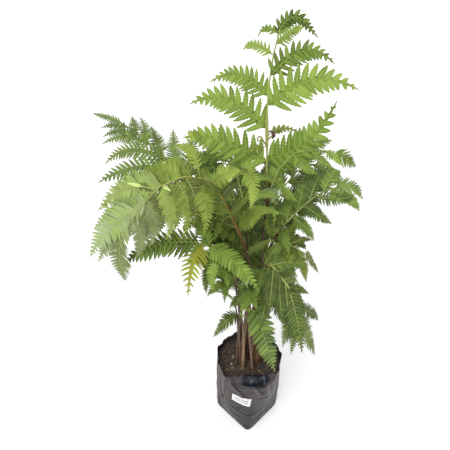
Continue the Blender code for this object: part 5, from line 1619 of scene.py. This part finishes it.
def buildLitter():
    rng = random.Random("litter")
    pieces = Gather("red", "green", "blue")
    crumb, chip = pebble("crumb"), pebble("chip")
    stems = [(*plan["foot"][:2], soil["byStalk"]) for plan in frondPlans.values()]
    stems.append((*trunk["place"], soil["byTrunk"]))

    def lay(form, x, y, size, bearing, color, sink=0.25, tilt=0.25):
        verts, faces = form
        c, s = math.cos(bearing), math.sin(bearing)
        turn = np.array(((c, -s, 0), (s, c, 0), (0, 0, 1.0)))
        lean = rng.uniform(-tilt, tilt)
        c, s = math.cos(lean), math.sin(lean)
        lift = np.array(((c, 0, -s), (0, 1.0, 0), (s, 0, c)))
        placed = (verts * np.array(size)) @ (turn @ lift).T
        placed = placed + np.array((x, y, soilHeight(x, y) + size[2] * (0.5 - sink)))
        red, green, blue = (channel * rng.uniform(0.8, 1.15) for channel in color)
        pieces.add(placed, faces, red=red, green=green, blue=blue)

    def freeSpot():
        while True:
            a, r = rng.uniform(0, 2 * math.pi), soil["reach"] * math.sqrt(rng.random())
            x, y = r * math.cos(a), r * math.sin(a)
            if clearOfStems(x, y, stems):
                return x, y

    paints = soil["chipColors"]
    for _ in range(soil["crumbs"]):
        x, y = freeSpot()
        d = rng.uniform(*soil["crumbSize"])
        shade = rng.choice(soil["crumbShades"])
        lay(crumb, x, y, (d, d * rng.uniform(0.6, 1), d * rng.uniform(0.5, 0.9)), rng.uniform(0, 6.3),
            [v * shade for v in paints["crumb"]])
    for _ in range(soil["chips"]):
        x, y = freeSpot()
        long = rng.uniform(*soil["chipLong"])
        kind = rng.choices(*zip(*soil["chipKinds"].items()))[0]
        lay(chip, x, y, (long, long * rng.uniform(*soil["chipWide"]), rng.uniform(*soil["chipThick"])),
            rng.uniform(0, 6.3), paints[kind])
    for x, y, long, bearing, kind in soil["seenChips"]:
        wide, thick = soil["seenChip"]
        lay(chip, x, y, (long, long * wide, thick), math.radians(bearing), paints[kind], 0.1)
    straws = list(soil["seenStraws"])
    for _ in range(soil["straws"]):
        x, y = freeSpot()
        a, long = rng.uniform(0, 6.3), rng.uniform(*soil["strawLong"])
        straws.append((x, y, x + long * math.cos(a), y + long * math.sin(a)))
    for x, y, x2, y2 in straws:
        if math.hypot(x2, y2) >= soil["reach"]:
            continue
        points = [np.array((x + (x2 - x) * t, y + (y2 - y) * t, 0)) for t in np.linspace(0, 1, 6)]
        points = [p + up * (soilHeight(p[0], p[1]) + soil["strawLift"] + rng.uniform(0, 0.0008))
                  for p in points]
        verts, faces = tube(points, [soil["strawRadius"]] * 6, 4)
        red, green, blue = paints["straw"]
        pieces.add(verts, faces, red=red, green=green, blue=blue)
    finishPiece(pieces.piece("soilLitter"), litterMaterial(), "potting_soil", "soil")


# trunk

trunk = {
    "place": (0.015, 0.0),
    "levels": ((0.186, 0.0158), (0.205, 0.0168), (0.252, 0.0154), (0.325, 0.0150), (0.403, 0.0157)),
    "segments": 72, "rings": 96,
    "strands": 190, "strandThick": (0.0004, 0.0009), "strandLeast": 0.03, "strandDrift": 0.3,
    "stubRadius": 0.0036, "stubSides": 12,
    # stubs of old fronds: bearing, height, length
    "stubs": ((-78, 0.246, 0.018), (-42, 0.275, 0.016), (100, 0.262, 0.018),
              (172, 0.290, 0.017), (-100, 0.322, 0.016), (40, 0.345, 0.016)),
    "paint": {"dark": (0.030, 0.014, 0.008), "fibre": (0.230, 0.100, 0.035), "pale": (0.420, 0.260, 0.120)},
}


def trunkRadius(z):
    heights, radii = zip(*trunk["levels"])
    return float(np.interp(z, heights, radii))


def trunkMaterial():
    made, n = newMaterial("trunkFibre")
    paint = trunk["paint"]
    grain = n.noise(n.place((1, 1, 0.06)), 620.0, 4, 0.7)
    color = n.mix(n.band(grain, 0.38, 0.62), paint["dark"], paint["fibre"])
    color = n.layer(color, n.band(n.value("paleness"), 0.4, 1.0), 0.6, paint["pale"])
    spots = n.group(mottle, Size=45.0, Stretch=0.4)
    color = n.layer(color, spots["Blotch"], 0.5, paint["dark"])
    n.surface(color, 0.86, n.bump(grain, 0.9, 0.0015))
    return made


def buildTrunk():
    x0, y0 = trunk["place"]
    low, high = trunk["levels"][0][0], trunk["levels"][-1][0]
    piece, angle, level = ringStack("trunkCore", trunk["segments"], trunk["rings"])
    z = low + (high - low) * level / trunk["rings"]
    ridges = roundNoise(angle, z, 3.2, 9) * 0.0016 + roundNoise(angle, z, 11, 22) * 0.0008
    r = np.array([trunkRadius(h) for h in z]) - 0.0012 + ridges
    placeVerts(piece, np.stack([x0 + r * np.cos(angle), y0 + r * np.sin(angle), z], -1))
    closeRing(piece, 0, level)
    closeRing(piece, trunk["rings"], level)
    outward(piece)
    giveValues(piece.data, {"paleness": np.zeros(len(piece.data.vertices))})
    look = trunkMaterial()
    finishPiece(piece, look, "trunk_fibre", "trunk")

    rng = random.Random("trunk strands")
    fibres = Gather("paleness")
    for _ in range(trunk["strands"]):
        a = rng.uniform(0, 2 * math.pi)
        start, stop = sorted((rng.uniform(low + 0.012, high), rng.uniform(low + 0.012, high)))
        stop = min(high + 0.004, max(stop, start + trunk["strandLeast"]))
        drift, wave = rng.uniform(-trunk["strandDrift"], trunk["strandDrift"]), rng.uniform(0, 6.3)
        points = []
        for t in np.linspace(0, 1, 9):
            h = start + (stop - start) * t
            b = a + drift * t + 0.05 * math.sin(wave + t * 9)
            r = trunkRadius(h) - 0.0004 + 0.0007 * math.sin(wave + t * 5) - 0.002 * (t in (0.0, 1.0))
            points.append((x0 + r * math.cos(b), y0 + r * math.sin(b), h))
        thick = rng.uniform(*trunk["strandThick"])
        verts, faces = tube(points, [thick * (0.5 if k in (0, 8) else 1) for k in range(9)], 5)
        fibres.add(verts, faces, paleness=rng.random() ** 2)
    for bearing, z, length in trunk["stubs"]:
        a = math.radians(bearing)
        out = np.array((math.cos(a), math.sin(a), 0))
        foot = np.array((x0, y0, z - 0.006)) + out * 0.009
        end = foot + out * length * 0.62 + up * length * 0.95
        shares = np.linspace(0, 1, 9)
        points = [foot + (end - foot) * t + out * 0.0024 * t * (1 - t) for t in shares]
        radii = [trunk["stubRadius"] * (1.1 - 0.35 * t) * (1 + rng.uniform(-0.05, 0.05)) for t in shares]
        verts, faces = tube(points, radii, trunk["stubSides"])
        fibres.add(verts, faces, paleness=np.repeat(np.linspace(0.2, 0.75, 9), trunk["stubSides"]))
    finishPiece(fibres.piece("trunkStrands"), look, "trunk_fibre", "trunk")


# scene: floor, light, camera

def setCamera():
    clearSelection()
    bpy.ops.object.camera_add(location=view["eye"], rotation=(math.radians(90 - view["tilt"]), 0, 0))
    camera = bpy.context.object
    camera.data.sensor_width = view["sensor"]
    camera.data.lens = view["sensor"] * view["focal"] / view["frame"]
    camera.data.clip_start = view["near"]
    bpy.context.scene.camera = camera


studio = {
    "floor": 16.0, "floorBelow": 0.0005, "floorPaint": ((0.93, 0.93, 0.93), (0.95, 0.95, 0.95)),
    "glow": 0.20, "world": 0.66, "sun": 1.70, "sunAngle": 50, "sunFrom": (-0.35, -0.75, 1.0),
}


def setStudio():
    clearSelection()
    bpy.ops.mesh.primitive_plane_add(size=studio["floor"], location=(0, 0, -studio["floorBelow"]))
    floor = bpy.context.object
    floor.name = "paleFloor"
    made, n = newMaterial("paleFloorPaint")
    shader = n.surface(n.mix(n.noise(n.place(), 3.0, 2), *studio["floorPaint"]), 0.85)
    shader.inputs["Emission Color"].default_value = (1, 1, 1, 1)
    shader.inputs["Emission Strength"].default_value = studio["glow"]
    floor.data.materials.append(made)
    world = bpy.data.worlds.new("softWhite")
    bpy.context.scene.world = world
    world.use_nodes = True
    sky = world.node_tree.nodes["Background"]
    sky.inputs["Color"].default_value = (1, 1, 1, 1)
    sky.inputs["Strength"].default_value = studio["world"]
    bpy.ops.object.light_add(type="SUN", location=studio["sunFrom"])
    lamp = bpy.context.object
    lamp.name = "softSun"
    lamp.rotation_euler = Vector(studio["sunFrom"]).to_track_quat("Z", "Y").to_euler()
    lamp.data.angle = math.radians(studio["sunAngle"])
    lamp.data.energy = studio["sun"]
    bpy.context.scene.view_settings.view_transform = "Standard"


setStudio()
setCamera()
print("studio and camera ready")

forms = {kind: pinnuleForm(form) for kind, form in leafletPlan["forms"].items()}
leafLook, ribLook, stipeLook = leafMaterial(), ribMaterial(), stipeMaterial()
for name in frondPlans:
    buildStipe(name, stipeLook)
for build in (buildBag, buildSticker, buildSoil, buildLitter, buildTrunk):
    build()
print("pot and stalks ready")
total = sum(buildFrond(name, forms, leafLook, ribLook) for name in frondPlans)
print("fronds ready, leaflet faces:", total)
buildStrays(forms, leafLook, ribLook, stipeLook)
print("stray leaves ready")
